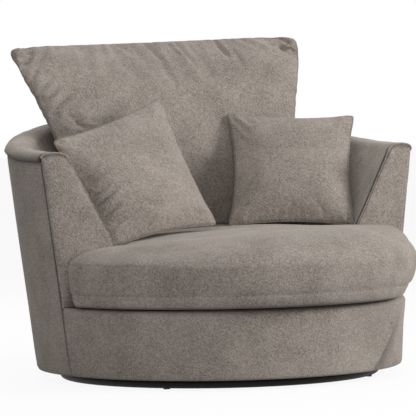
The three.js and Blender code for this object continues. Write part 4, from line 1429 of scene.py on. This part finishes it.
    def make_lining(self) -> bpy.types.Object:
        """The dark lining under the base, open round the swivel."""
        around, rings = 160, 10
        level = FORM.hem_height + 4.0
        front = FORM.front(np.linspace(-1, 1, 60), np.full(60, level), 7.0)[:, :2]
        shares = -np.linspace(-1, 1, 120)
        rear = FORM.wall(FORM.outer(level, shares) - 7.0, np.full(120, level), shares)[:, :2]
        outline = even_loop(np.vstack([front, rear, front[:1]]), around)
        turn = np.arctan2(outline[:, 1], outline[:, 0])
        hole = np.column_stack([np.cos(turn), np.sin(turn)]) * self.lining_hole

        def place(u: np.ndarray, v: np.ndarray) -> np.ndarray:
            """A point of the lining."""
            step = nearest_step(u, around)
            plan = hole[step] + (outline[step] - hole[step]) * ((v + 1) / 2)[:, None]
            return np.column_stack([plan, np.full(len(u), level - 0.3)])

        piece = merged(woven("base_lining", around, rings, place))
        with_modifier(piece, "SOLIDIFY", thickness=0.9 * MM, offset=-1.0, use_rim=True)
        return piece


# The filling of the loose cushions


@dataclass(frozen=True)
class Filling:
    """Blows a cushion's cloth up as its filling does, held at its seam and kept to its form."""

    pressure: float = 4.0
    frames: int = 20
    most_move: float = 24.0
    proud: float = 3.0
    spare_cloth: float = 0.035
    stiffness: float = 12.0

    def press(self, piece: bpy.types.Object, form: bpy.types.Object) -> bpy.types.Object:
        """Fills a cushion's cloth.

        Args:
            piece: the slack cloth, whose vertex group SEWN holds its seam.
            form: the full form that it may not leave, which is used up.

        Returns:
            The filled piece.
        """
        limit = surface_of(form)
        bpy.data.objects.remove(form)
        before = points_of(piece)
        self._simulate(piece)
        step = points_of(piece) - before
        length = np.linalg.norm(step, axis=1)
        step *= (np.minimum(length, self.most_move * MM) / np.maximum(length, 1e-9))[:, None]
        set_points(piece, self._kept_inside(before + step, limit))
        with_modifier(piece, "SUBSURF", levels=1, render_levels=1)
        return piece

    def _simulate(self, piece: bpy.types.Object) -> None:
        """Runs the cloth with air in it and applies the result."""
        modifier = piece.modifiers.new("filling", "CLOTH")
        cloth = modifier.settings
        cloth.quality = 5
        cloth.mass = 0.3
        cloth.tension_stiffness = cloth.compression_stiffness = self.stiffness
        cloth.shear_stiffness = self.stiffness / 2
        cloth.bending_stiffness = 0.5
        cloth.shrink_min = -self.spare_cloth
        cloth.vertex_group_mass = SEWN
        cloth.use_pressure = True
        cloth.uniform_pressure_force = self.pressure
        cloth.effector_weights.gravity = 0.0
        modifier.point_cache.frame_start = 1
        modifier.point_cache.frame_end = self.frames
        scene = bpy.context.scene
        for frame in range(1, self.frames + 1):
            scene.frame_set(frame)
        select_only(piece)
        bpy.ops.object.modifier_apply(modifier=modifier.name)
        scene.frame_set(1)

    def _kept_inside(self, points: np.ndarray, limit: BVHTree) -> np.ndarray:
        """Draws points that stand too far out of a form back to it.

        Args:
            points: the points in metres.
            limit: the form's surface.

        Returns:
            The points, none of them far outside.
        """
        kept = points.copy()
        for i, point in enumerate(points):
            near, normal, _, _ = limit.find_nearest(Vector(point))
            out = (Vector(point) - near).dot(normal)
            if out > self.proud * MM:
                kept[i] = near + normal * (self.proud * MM)
        return kept


# The loose cushions


@dataclass
class SeatCushion:
    """The thick boxed seat cushion with its crown and the ears in front of the arms."""

    wardrobe: Wardrobe
    half_width: float = 563.0
    front_reach: float = 612.0
    ellipse_centre: float = -75.0
    ear_angle: float = math.radians(74)
    ear_half_width: float = 561.0
    ear_corner: float = 60.0
    bottom: float = 234.2
    edge_height: float = 117.0
    crown: float = 94.0
    rear_fall: float = 8.0
    left_sag: float = 0.48
    right_sag: float = 0.1
    sag_from: float = 150.0
    front_run: float = 230.0
    tongue_run: float = 115.0
    hub_y: float = -230.0
    under_roll: float = 38.0
    seam_rise: float = 38.0
    wall_gap: float = 2.0
    ear_ahead: float = 17.6
    run_power: float = 2.3
    crown_power: float = 1 / 1.7
    around: int = 480
    side_tuck: float = 0.95
    side_chamfer: float = 0.85

    def build(self) -> bpy.types.Object:
        """Builds and dresses the cushion.

        Returns:
            The piece.
        """
        piece = self.make_form()
        self.sew(piece)
        self.wardrobe.wear(piece, Slot.VELOUR)
        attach(piece, Body.SEAT_CUSHION.value)
        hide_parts("seat_cushion_cover", "seat_cushion_foam")
        return piece

    def ear_line(self, x: float) -> float:
        """Y of the ears' straight back at an X."""
        plane = FORM.centre_y - FORM.plane_drop() + math.tan(FORM.arm_front_turn) * x
        return plane - self.ear_ahead / math.cos(FORM.arm_front_turn)

    def outline(self, height: float) -> np.ndarray:
        """The cushion's outline on the plan at a height, closed and softened at its corners."""
        depth = self.front_reach + self.ellipse_centre
        a = np.linspace(0, self.ear_angle, 60)
        nose = np.column_stack([self.half_width * np.sin(a), self.ellipse_centre - depth * np.cos(a)])
        corner_x = self.ear_half_width - self.ear_corner
        corner_y = self.ear_line(corner_x) - self.ear_corner
        b = np.linspace(0, math.pi / 2, 16)
        ear = np.column_stack([corner_x + self.ear_corner * np.cos(b), corner_y + self.ear_corner * np.sin(b)])
        shares = 1 - np.linspace(0, 1, 60)
        radius = FORM.inner(height, shares) - self.wall_gap
        tongue = FORM.wall(radius, np.full(60, height), shares, self.ear_ahead)[:, :2]
        half = np.vstack([nose, ear, tongue])
        mirror = half[1:-1][::-1] * np.array([-1, 1])
        line = even_loop(np.vstack([half, mirror, half[:1]]), self.around)[:-1]
        for _ in range(6):
            line = line * 0.5 + (np.roll(line, 1, axis=0) + np.roll(line, -1, axis=0)) * 0.25
        return np.vstack([line, line[:1]])

    def crown_height(self, x: np.ndarray, y: np.ndarray) -> np.ndarray:
        """Full height of the crown at a place on the plan."""
        left = self.left_sag * eased(-self.sag_from, self.half_width, -x)
        right = self.right_sag * eased(self.sag_from, self.half_width, x)
        return (self.crown - self.rear_fall * eased(self.hub_y, -self.hub_y, y)) * (1 - left - right)

    def side_profile(self) -> np.ndarray:
        """Inset and rise of the cushion's side, from under its lower edge to the crown."""
        points = [
            (self.under_roll, 0.0), (27.0, 5.5), (20.0, 13.5), (15.0, 25.0), (12.0, self.seam_rise),
            (6.5, 54.0), (2.6, 74.0), (0.8, 96.0), (0.0, self.edge_height),
        ]
        return curve_through(points, 44)

    def rings(self) -> np.ndarray:
        """The rings of points from the middle of the underside to the middle of the top."""
        seam_z = self.bottom + self.edge_height
        hub = np.array([0.0, self.hub_y])
        side = self.side_profile()
        lowest = self._inset(self.outline(self.bottom), side[0, 0], self.side_tuck)
        found = []
        for share in np.linspace(0, 1, 14, endpoint=False):
            plan = hub + (lowest - hub) * share
            found.append(np.column_stack([plan, np.full(len(plan), self.bottom)]))
        for inset, rise in side:
            chamfer = self.side_chamfer * math.exp(-(((rise - 24) / 14) ** 2))
            plan = self._inset(self.outline(self.bottom + rise), inset, self.side_tuck + chamfer)
            found.append(np.column_stack([plan, np.full(len(plan), self.bottom + rise)]))
        rim = found[-1][:, :2]
        reach = np.linalg.norm(rim - hub, axis=1)
        blend = eased(1.5 * self.hub_y, 0.5 * self.hub_y, rim[:, 1])
        run = self.front_run + (self.tongue_run - self.front_run) * blend
        run = run * (1 - 0.3 * eased(300.0, 560.0, rim[:, 0]))
        for inward in (np.arange(1, 71) / 70) ** 1.9:
            plan = hub + (rim - hub) * (1 - inward)
            left = 1 - np.minimum(reach * inward / run, 1)
            rise = self.crown_height(plan[:, 0], plan[:, 1]) * (1 - left**self.run_power) ** self.crown_power
            found.append(np.column_stack([plan, seam_z + rise]))
        return np.stack(found)

    def make_form(self) -> bpy.types.Object:
        """The closed form: underside, rolled lower edge, side and crown."""
        table = self.rings()
        last = len(table) - 1

        def place(u: np.ndarray, v: np.ndarray) -> np.ndarray:
            """A point of the form."""
            return table[nearest_step(v, last), nearest_step(u, self.around)]

        return smoothed(merged(woven("seat_cushion_velour", self.around, last, place)))

    def sew(self, piece: bpy.types.Object) -> None:
        """Draws in the seams of the form, with their puckers, and gives its top an uneven fall.

        Args:
            piece: the cushion's form.
        """
        points = points_of(piece) / MM
        x, y, z = points.T
        seam_z = self.bottom + self.edge_height
        top = eased(seam_z - 20, seam_z + 50, z)
        swell = wander(points, 170.0, 8.0) * 4.0 + wander(points, 70.0, 9.0) * 1.5
        low = z - self.bottom - self.seam_rise
        near_low = np.exp(-((low / 13.0) ** 2))
        pucker = wander(points * np.array([1, 1, 0.1]), 9.5, 10.0)
        at_left = eased(-330, -470, x)
        at_right = eased(250, 420, x)
        patches = np.clip(wander(points, 130.0, 11.0) * 0.8 + 0.15 + at_left + at_right, 0, 1)
        groove = np.exp(-((low / 3.2) ** 2)) * (0.3 + 1.3 * patches)
        ear = np.exp(-(((z - self.bottom - 70) / 46.0) ** 2)) * eased(-515, -545, x)
        pleats = wander(points * np.array([1, 1, 0.06]), 11.0, 14.0) * ear * 4.6
        rim = np.exp(-(((z - seam_z - 6) / 4.0) ** 2)) * eased(-370, -470, x)
        relief = swell * (0.3 + 0.7 * top) + pucker * patches * near_low * 2.4 - groove * 1.4 + pleats - rim * 1.6
        above = eased(self.bottom + 3, self.bottom + 14, z)
        raise_points(piece, relief * above)
        # Painted shade on the underside roll, so the gap under the seat falls dark; the stitches and the rim are dark
        # seam lines.
        under = eased(self.bottom + 9, self.bottom + 1, z)
        stitches = np.exp(-((low / 1.5) ** 2)) * (0.02 + 0.34 * patches)
        mark(piece, np.clip((stitches + rim * 0.25) * above + under * 0.8, 0, 1))

    @staticmethod
    def _inset(line: np.ndarray, distance: float, more: float) -> np.ndarray:
        """Moves a closed outline inwards.

        Args:
            line: the outline, with its first point repeated at the end.
            distance: how far.
            more: how much further it goes at the right end, as a share.

        Returns:
            The moved outline.
        """
        ring = line[:-1]
        along = np.roll(ring, -2, axis=0) - np.roll(ring, 2, axis=0)
        into = np.column_stack([-along[:, 1], along[:, 0]])
        into /= np.linalg.norm(into, axis=1)[:, None]
        for _ in range(10):
            into = into * 0.5 + (np.roll(into, 1, axis=0) + np.roll(into, -1, axis=0)) * 0.25
        at_right = eased(380.0, 545.0, ring[:, :1])
        at_left = eased(380.0, 545.0, -ring[:, :1])
        drawn = ring + into * distance * (1 + more * at_right - 0.35 * at_left)
        return np.vstack([drawn, drawn[:1]])


@dataclass(frozen=True)
class Corners:
    """How far each corner of a pillow is drawn across and up, in millimetres."""

    foot_left: tuple[float, float] = (0.0, 0.0)
    foot_right: tuple[float, float] = (0.0, 0.0)
    top_left: tuple[float, float] = (0.0, 0.0)
    top_right: tuple[float, float] = (0.0, 0.0)

    def pull(self, across: np.ndarray, up: np.ndarray) -> np.ndarray:
        """The pull at places on the pillow.

        Args:
            across: shares across, from -1 to 1.
            up: shares up, from -1 to 1.

        Returns:
            The pull across and up, one row a place.
        """
        right, top = (across + 1)[:, None] / 2, (up + 1)[:, None] / 2
        foot = np.array(self.foot_left) * (1 - right) + np.array(self.foot_right) * right
        head = np.array(self.top_left) * (1 - right) + np.array(self.top_right) * right
        return foot * (1 - top) + head * top


@dataclass(frozen=True)
class PillowShape:
    """Sizes of a pillow that stands on its lower edge, in millimetres."""

    bottom_width: float
    top_width: float
    height: float
    half_thickness: float
    side_pull: tuple[float, float]
    top_pull: float
    corner: float
    corner_power: float
    corners: Corners
    bow: float = 0.0
    lean: float = 0.0

    @staticmethod
    def swell(share: np.ndarray) -> np.ndarray:
        """How far a pillow stands out, from 0 at its seam to 1 at its middle."""
        return np.maximum(1 - np.abs(share) ** 2.2, 0) ** 0.62

    def width_at(self, up: np.ndarray) -> np.ndarray:
        """Half the width at a share up."""
        return (self.bottom_width + (self.top_width - self.bottom_width) * (up + 1) / 2) / 2

    def point(self, across: np.ndarray, up: np.ndarray, side: int, fullness: float = 1.0) -> np.ndarray:
        """A point of one panel, in the pillow's own frame.

        Args:
            across: share across, from -1 to 1.
            up: share up, from -1 to 1.
            side: -1 for the front panel, 1 for the rear one.
            fullness: share of the full thickness.

        Returns:
            The points in millimetres, one a row.
        """
        width = self.width_at(up)
        pulled = np.where(across < 0, *self.side_pull)
        half_width = width * (1 - pulled * (1 - up**2))
        half_rise = self.height / 2 * (1 - self.top_pull * (1 - across**2))
        blunt = 1 - (1 - self.corner) * np.abs(across * up) ** self.corner_power
        x = across * half_width * blunt
        depth = side * self.half_thickness * fullness * self.swell(across) * self.swell(up)
        bow = self.bow * (1 - (x / width) ** 2)
        pull = self.corners.pull(across, up)
        z = self.height / 2 + up * half_rise * blunt + bow * math.sin(self.lean) + pull[:, 1]
        return np.column_stack([x + pull[:, 0], depth + bow * math.cos(self.lean), z])

    def shares(self, points: np.ndarray) -> tuple[np.ndarray, np.ndarray, np.ndarray]:
        """The shares of points that lie on the pillow or close to it.

        Args:
            points: places in the pillow's own frame.

        Returns:
            Share across, share up, and -1 for the front panel or 1 for the rear one.
        """
        across = points[:, 0] / self.width_at(points[:, 2] / self.height * 2 - 1)
        up = points[:, 2] / self.height * 2 - 1
        for _ in range(8):
            across, up = np.clip(across, -1, 1), np.clip(up, -1, 1)
            miss = points - self.point(across, up, 0)
            across = across + miss[:, 0] / self.width_at(up)
            up = up + miss[:, 2] / self.height * 2
        middle = self.point(np.clip(across, -1, 1), np.clip(up, -1, 1), 0)
        side = np.where(points[:, 1] < middle[:, 1], -1, 1)
        return np.clip(across, -1, 1), np.clip(up, -1, 1), side


@dataclass
class Pillow:
    """A sewn pillow: two panels joined by a seam all round, with puckers and corner pleats."""

    name: str
    shape: PillowShape
    turn: Matrix
    body: Body
    nodes: tuple[str, ...]
    wardrobe: Wardrobe
    fill: float
    filling: Filling
    folds: tuple[Fold, ...] = ()
    ears: tuple[float, float, float, float] = (0.0, 0.0, 0.0, 0.0)
    steps: int = 130
    cloth_steps: int = 72
    slack: float = 0.86
    seed: float = 0.0
    gather: float = 1.0
    slant: float = 0.0

    def build(self) -> bpy.types.Object:
        """Builds and dresses the pillow.

        Returns:
            The piece.
        """
        piece = self.make_form(self.steps, 1.0, 1.0)
        piece = self.filling.press(self.make_form(self.cloth_steps, self.slack, 0.35), piece)
        piece.name = piece.data.name = self.name
        self.sew(piece)
        self.wardrobe.wear(piece, Slot.VELOUR)
        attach(piece, self.body.value)
        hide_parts(*self.nodes)
        return smoothed(piece)

    def make_form(self, steps: int, fullness: float, crowding: float) -> bpy.types.Object:
        """The closed pillow, in its place on the chair.

        Args:
            steps: quads along each side of a panel.
            fullness: share of the full thickness.
            crowding: how much closer the quads lie at the seam, from 0 to 1.

        Returns:
            The form, with the vertex group SEWN along its seam.
        """

        def crowded(share: np.ndarray) -> np.ndarray:
            """Moves even steps towards the seam."""
            return share + (np.sin(share * math.pi / 2) - share) * crowding

        def panel(side: int) -> bpy.types.Object:
            """One of the two panels."""
            piece = woven(
                f"{self.name}_panel_{side}",
                steps,
                steps,
                lambda u, v: self.shape.point(crowded(u), crowded(v), side, fullness),
                lambda u, v: (np.maximum(np.abs(u), np.abs(v)) > 0.9999) * 1.0,
            )
            sewn = np.flatnonzero(marks_of(piece) > 0.5).tolist()
            piece.vertex_groups.new(name=SEWN).add(sewn, 1.0, "REPLACE")
            return piece

        piece = merged(joined(self.name, panel(-1), panel(1)), 0.00008)
        set_points(piece, moved(points_of(piece) / MM, self.turn) * MM)
        return piece

    def sew(self, piece: bpy.types.Object) -> None:
        """Draws in the seam with its puckers, the corner pleats and the folds of the face.

        Args:
            piece: the pillow's form.
        """
        own = moved(points_of(piece) / MM, self.turn.inverted())
        across, up, side = self.shape.shares(own)
        x, z = across * self.shape.top_width / 2, (up + 1) / 2 * self.shape.height
        relief = self.relief(x, z, across, up, side)
        raise_points(piece, relief)
        near = np.minimum((1 - np.abs(across)) * self.shape.top_width, (1 - np.abs(up)) * self.shape.height) / 2
        # Painted shade in the deep creases, and a dark line along the seam.
        crease_shade = eased(3.0, 11.0, -relief)
        mark(piece, np.clip(0.42 * np.exp(-(((near - 5.0) / 2.6) ** 2)) + 0.7 * crease_shade, 0, 1))

    def relief(
        self, x: np.ndarray, z: np.ndarray, across: np.ndarray, up: np.ndarray, side: np.ndarray
    ) -> np.ndarray:
        """Puckers along the seam, pleats from the corners, folds and a soft unevenness.

        Args:
            x: place across in millimetres.
            z: place up in millimetres.
            across: the same as a share.
            up: the same as a share.
            side: the panel.

        Returns:
            Height of the relief at each point.
        """
        s = self.shape
        to_side = (1 - np.abs(across)) * s.top_width / 2
        to_edge = (1 - np.abs(up)) * s.height / 2
        flat = np.column_stack([x, side * 400.0, z])
        soft = wander(flat, 130.0, self.seed + 1) * 3.4 + wander(flat, 55.0, self.seed + 2) * 1.6
        along_top = np.column_stack([x + self.slant * to_edge, to_edge * 0.16, np.sign(up) * 60 + side * 300])
        along_side = np.column_stack([z + self.slant * to_side, to_side * 0.16, np.sign(across) * 90 + side * 300])
        patch = np.clip(wander(flat, 150.0, self.seed + 3) * 1.4 + 0.5, 0, 1)
        gathers = wander(along_top, 19.0, self.seed + 4) * np.exp(-to_edge / 34.0) * (1 - np.exp(-to_edge / 5.0))
        gathers += wander(along_side, 19.0, self.seed + 5) * np.exp(-to_side / 34.0) * (1 - np.exp(-to_side / 5.0))
        corner = np.hypot(to_side, to_edge)
        rays = np.column_stack(
            [np.arctan2(to_edge, to_side) * 60, corner * 0.04, np.sign(across) * 30 + np.sign(up) * 70 + side * 300]
        )
        pleats = wander(rays, 13.0, self.seed + 6) * np.exp(-corner / 60.0) * (1 - np.exp(-corner / 16.0))
        ease = s.swell(across) * s.swell(up)
        made = sum((fold.height(x, z) for fold in self.folds), np.zeros(len(x))) * (side < 0)
        nearest = np.minimum(to_side, to_edge)
        edge = 1 - np.exp(-nearest / 8.0)
        for size, (right, top) in zip(self.ears, ((-1, -1), (1, -1), (-1, 1), (1, 1))):
            there = (across * right > 0) & (up * top > 0)
            lobe = np.exp(-(((corner - 30) / 25.0) ** 2)) - 0.3 * np.exp(-(((corner - 76) / 14.0) ** 2))
            made = made + size * lobe * there
        seam = -1.3 * np.exp(-(((nearest - 5.0) / 2.6) ** 2))
        return soft * ease + (gathers * patch * 2.8 + pleats * 3.2) * self.gather + made * edge + seam


@dataclass
class LooseCushions:
    """The back cushion and the two scatter cushions."""

    wardrobe: Wardrobe
    scatter_size: float = 390.0
    lean: float = math.radians(22)

    def build(self) -> list[bpy.types.Object]:
        """Builds the three pillows.

        Returns:
            The pieces.
        """
        return [self.make_back(), self.make_right(), self.make_left()]

    @staticmethod
    def settled(turn: Matrix, shape: PillowShape, node: str) -> Matrix:
        """Shifts a pillow's turn up or down so that it stands where its solid stands.

        Args:
            turn: the turn without its height.
            shape: the pillow's sizes.
            node: the solid that it follows.

        Returns:
            The turn with its height.
        """
        share = np.linspace(-1, 1, 61)
        across, up = (grid.ravel() for grid in np.meshgrid(share, share))
        low = min(moved(shape.point(across, up, side), turn)[:, 2].min() for side in (-1, 1))
        return Matrix.Translation((0, 0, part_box(node)[0].z / MM - low)) @ turn

    def make_back(self) -> bpy.types.Object:
        """The tall back cushion, with a drooping ear at its upper left."""
        corners = Corners(top_left=(-4.0, -3.0), top_right=(5.0, 5.0))
        shape = PillowShape(656, 994, 618, 126, (0.042, 0.0), 0.0, 0.96, 9, corners, 114, self.lean)
        turn = (
            Matrix.Translation((0, 149.99, 0))
            @ Matrix.Rotation(-self.lean, 4, "X")
            @ Matrix.Rotation(-math.radians(1.2), 4, "Y")
        )
        turn = self.settled(turn, shape, "back_cushion_cover")
        nodes = ("back_cushion_cover", "back_cushion_filling")
        return Pillow(
            "back_cushion_velour", shape, turn, Body.BACK_CUSHION, nodes, self.wardrobe, 0.75, Filling(),
            self.back_folds(), ears=(0.0, 0.0, 17.0, 12.0), steps=190, cloth_steps=104, seed=3.0, gather=1.3,
            slant=-0.5,
        ).build()

    @staticmethod
    def back_folds() -> tuple[Fold, ...]:
        """The folds that show on the front of the back cushion."""
        drags = (
            ((5, 612), (36, 520), 5.0), ((-92, 604), (-62, 550), 3.0), ((80, 612), (100, 535), 3.5),
            ((108, 610), (142, 475), 5.0), ((236, 612), (258, 520), 6.0), ((266, 610), (288, 508), 4.0),
            ((168, 610), (182, 552), 2.5), ((392, 612), (408, 550), 3.5), ((432, 612), (452, 560), 6.0),
        )
        creases = (
            ((-512, 572), (-470, 580), 16.0), ((-492, 552), (-440, 572), 7.0), ((-472, 426), (-392, 462), 7.0),
            ((-462, 390), (-366, 430), 8.0), ((-478, 458), (-410, 490), 6.0), ((-424, 360), (-376, 302), 5.0),
            ((-432, 336), (-338, 300), 5.0), ((-395, 344), (-275, 306), 3.0), ((-484, 500), (-440, 534), 5.0),
            ((-400, 335), (-296, 371), 5.0), ((436, 620), (468, 590), 7.0), ((462, 592), (500, 584), 8.0),
        )
        return tuple(Fold(a, b, depth, 9.0) for a, b, depth in drags + creases)

    def make_scatter(
        self, side: str, body: Body, place: tuple[float, float], turns: tuple[float, float, float],
        corners: Corners, pulls: tuple[float, float], folds: tuple[Fold, ...], seed: float,
    ) -> bpy.types.Object:
        """A scatter cushion.

        Args:
            side: its name.
            body: the body that it is.
            place: its place across and from front to back.
            turns: its turn, its lean and its roll, in degrees.
            corners: how its corners are drawn.
            pulls: how far its left and right sides are drawn in, as shares.
            folds: the folds on its face.
            seed: makes its creases its own.

        Returns:
            The piece.
        """
        size = self.scatter_size
        shape = PillowShape(size, size, size, 60, pulls, 0.08, 0.965, 18, corners)
        turn, lean, roll = (math.radians(angle) for angle in turns)
        matrix = (
            Matrix.Translation((*place, 0))
            @ Matrix.Rotation(turn, 4, "Z")
            @ Matrix.Rotation(-lean, 4, "X")
            @ Matrix.Rotation(-roll, 4, "Y")
            @ Matrix.Translation((0, 0, -size / 2))
        )
        matrix = self.settled(matrix, shape, f"scatter_{side}_cover")
        nodes = (f"scatter_{side}_cover", f"scatter_{side}_filling")
        filling = Filling(most_move=16.0, spare_cloth=0.01)
        return Pillow(
            f"scatter_{side}_velour", shape, matrix, body, nodes, self.wardrobe, 0.65, filling,
            folds, ears=(3.0, 3.0, 4.0, 4.0), seed=seed, gather=0.4, slant=0.3,
        ).build()

    def make_right(self) -> bpy.types.Object:
        """The right scatter cushion, which stands upright."""
        corners = Corners(top_left=(-3.0, 14.0), top_right=(6.0, 3.0))
        folds = (
            Fold((-182, 374), (-140, 300), 3.5, 10.0), Fold((-178, 322), (-146, 255), 2.5, 9.0),
            Fold((-160, 378), (-118, 340), 2.5, 9.0), Fold((-180, 28), (-145, 60), 2.5, 9.0),
            Fold((182, 366), (154, 316), 2.5, 9.0), Fold((180, 28), (148, 62), 2.0, 9.0),
        )
        return self.make_scatter("right", Body.SCATTER_RIGHT, (287, 70), (-25, 31, -1), corners, (0.12, 0.1), folds, 20.0)

    def make_left(self) -> bpy.types.Object:
        """The left scatter cushion, which has slumped on its corner."""
        corners = Corners((-16.0, 2.0), (-26.0, -35.0), (-12.0, -6.0), (30.0, 28.0))
        folds = (
            Fold((-188, 374), (-138, 336), 4.0, 9.0), Fold((-188, 252), (-130, 250), 4.0, 9.0),
            Fold((-188, 208), (-118, 222), 5.0, 8.0), Fold((-188, 170), (-128, 182), 6.0, 7.0),
            Fold((-188, 136), (-108, 162), 7.0, 7.0), Fold((-186, 96), (-124, 112), 6.0, 7.0),
            Fold((-186, 52), (-128, 68), 5.0, 8.0), Fold((188, 372), (136, 326), 3.5, 10.0),
            Fold((186, 20), (120, 40), 3.0, 9.0), Fold((-42, 88), (22, 56), 3.0, 13.0),
        )
        return self.make_scatter("left", Body.SCATTER_LEFT, (-243, 36), (4, 31, 15), corners, (0.07, 0.06), folds, 40.0)


# The frame and the base keep their solids


@dataclass
class Solids:
    """The hard solids of the frame, which keep their shapes and get their finishes."""

    wardrobe: Wardrobe
    frame: dict
    ring_radius: float = 0.4625
    tube_radius: float = 0.014
    ring_height: float = 0.016

    def dress(self) -> int:
        """Gives every solid the finish of its slot.

        Returns:
            How many solids were dressed.
        """
        slots = {s["node"]: s["material_slot"] for s in self.frame["record"]["subparts"]}
        for name, node in self.frame["nodes"].items():
            self.wardrobe.wear_node(node, Slot(slots[name]))
        return len(slots)

    def make_ring(self) -> bpy.types.Object:
        """The round floor ring, bent from tube and butt-welded at the back."""
        bpy.ops.object.select_all(action="DESELECT")
        bpy.ops.mesh.primitive_torus_add(
            major_segments=240,
            minor_segments=28,
            major_radius=self.ring_radius,
            minor_radius=self.tube_radius,
            location=(0, 0, self.ring_height),
        )
        ring = bpy.context.object
        ring.name = ring.data.name = "floor_ring"
        bpy.ops.object.transform_apply(location=True, rotation=True, scale=True)
        smoothed(ring)
        points = points_of(ring)
        from_weld = np.abs(np.arctan2(points[:, 0], points[:, 1])) * self.ring_radius / MM
        ripple = 1 + 0.35 * np.sin(np.arctan2(points[:, 2] - self.ring_height, points[:, 0]) * 9)
        raise_points(ring, 0.9 * np.exp(-((from_weld / 4.5) ** 2)) * ripple)
        self.wardrobe.wear(ring, Slot.BLACK_STEEL)
        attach(ring, Body.BASE.value)
        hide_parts("base_ring")
        return ring


def main() -> None:
    """Builds the dressed chair in its studio."""
    logging.basicConfig(level=logging.INFO, format="%(message)s")
    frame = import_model()
    Viewpoint().make()
    Studio().build()
    wardrobe = Wardrobe()
    wardrobe.fill()
    solids = Solids(wardrobe, frame)
    log.info("solids dressed: %d", solids.dress())
    log.info("piece: %s", solids.make_ring().name)
    for piece in TubUpholstery(wardrobe).build():
        log.info("piece: %s", piece.name)
    log.info("piece: %s", SeatCushion(wardrobe).build().name)
    for piece in LooseCushions(wardrobe).build():
        log.info("piece: %s", piece.name)


if __name__ == "__main__":
    main()
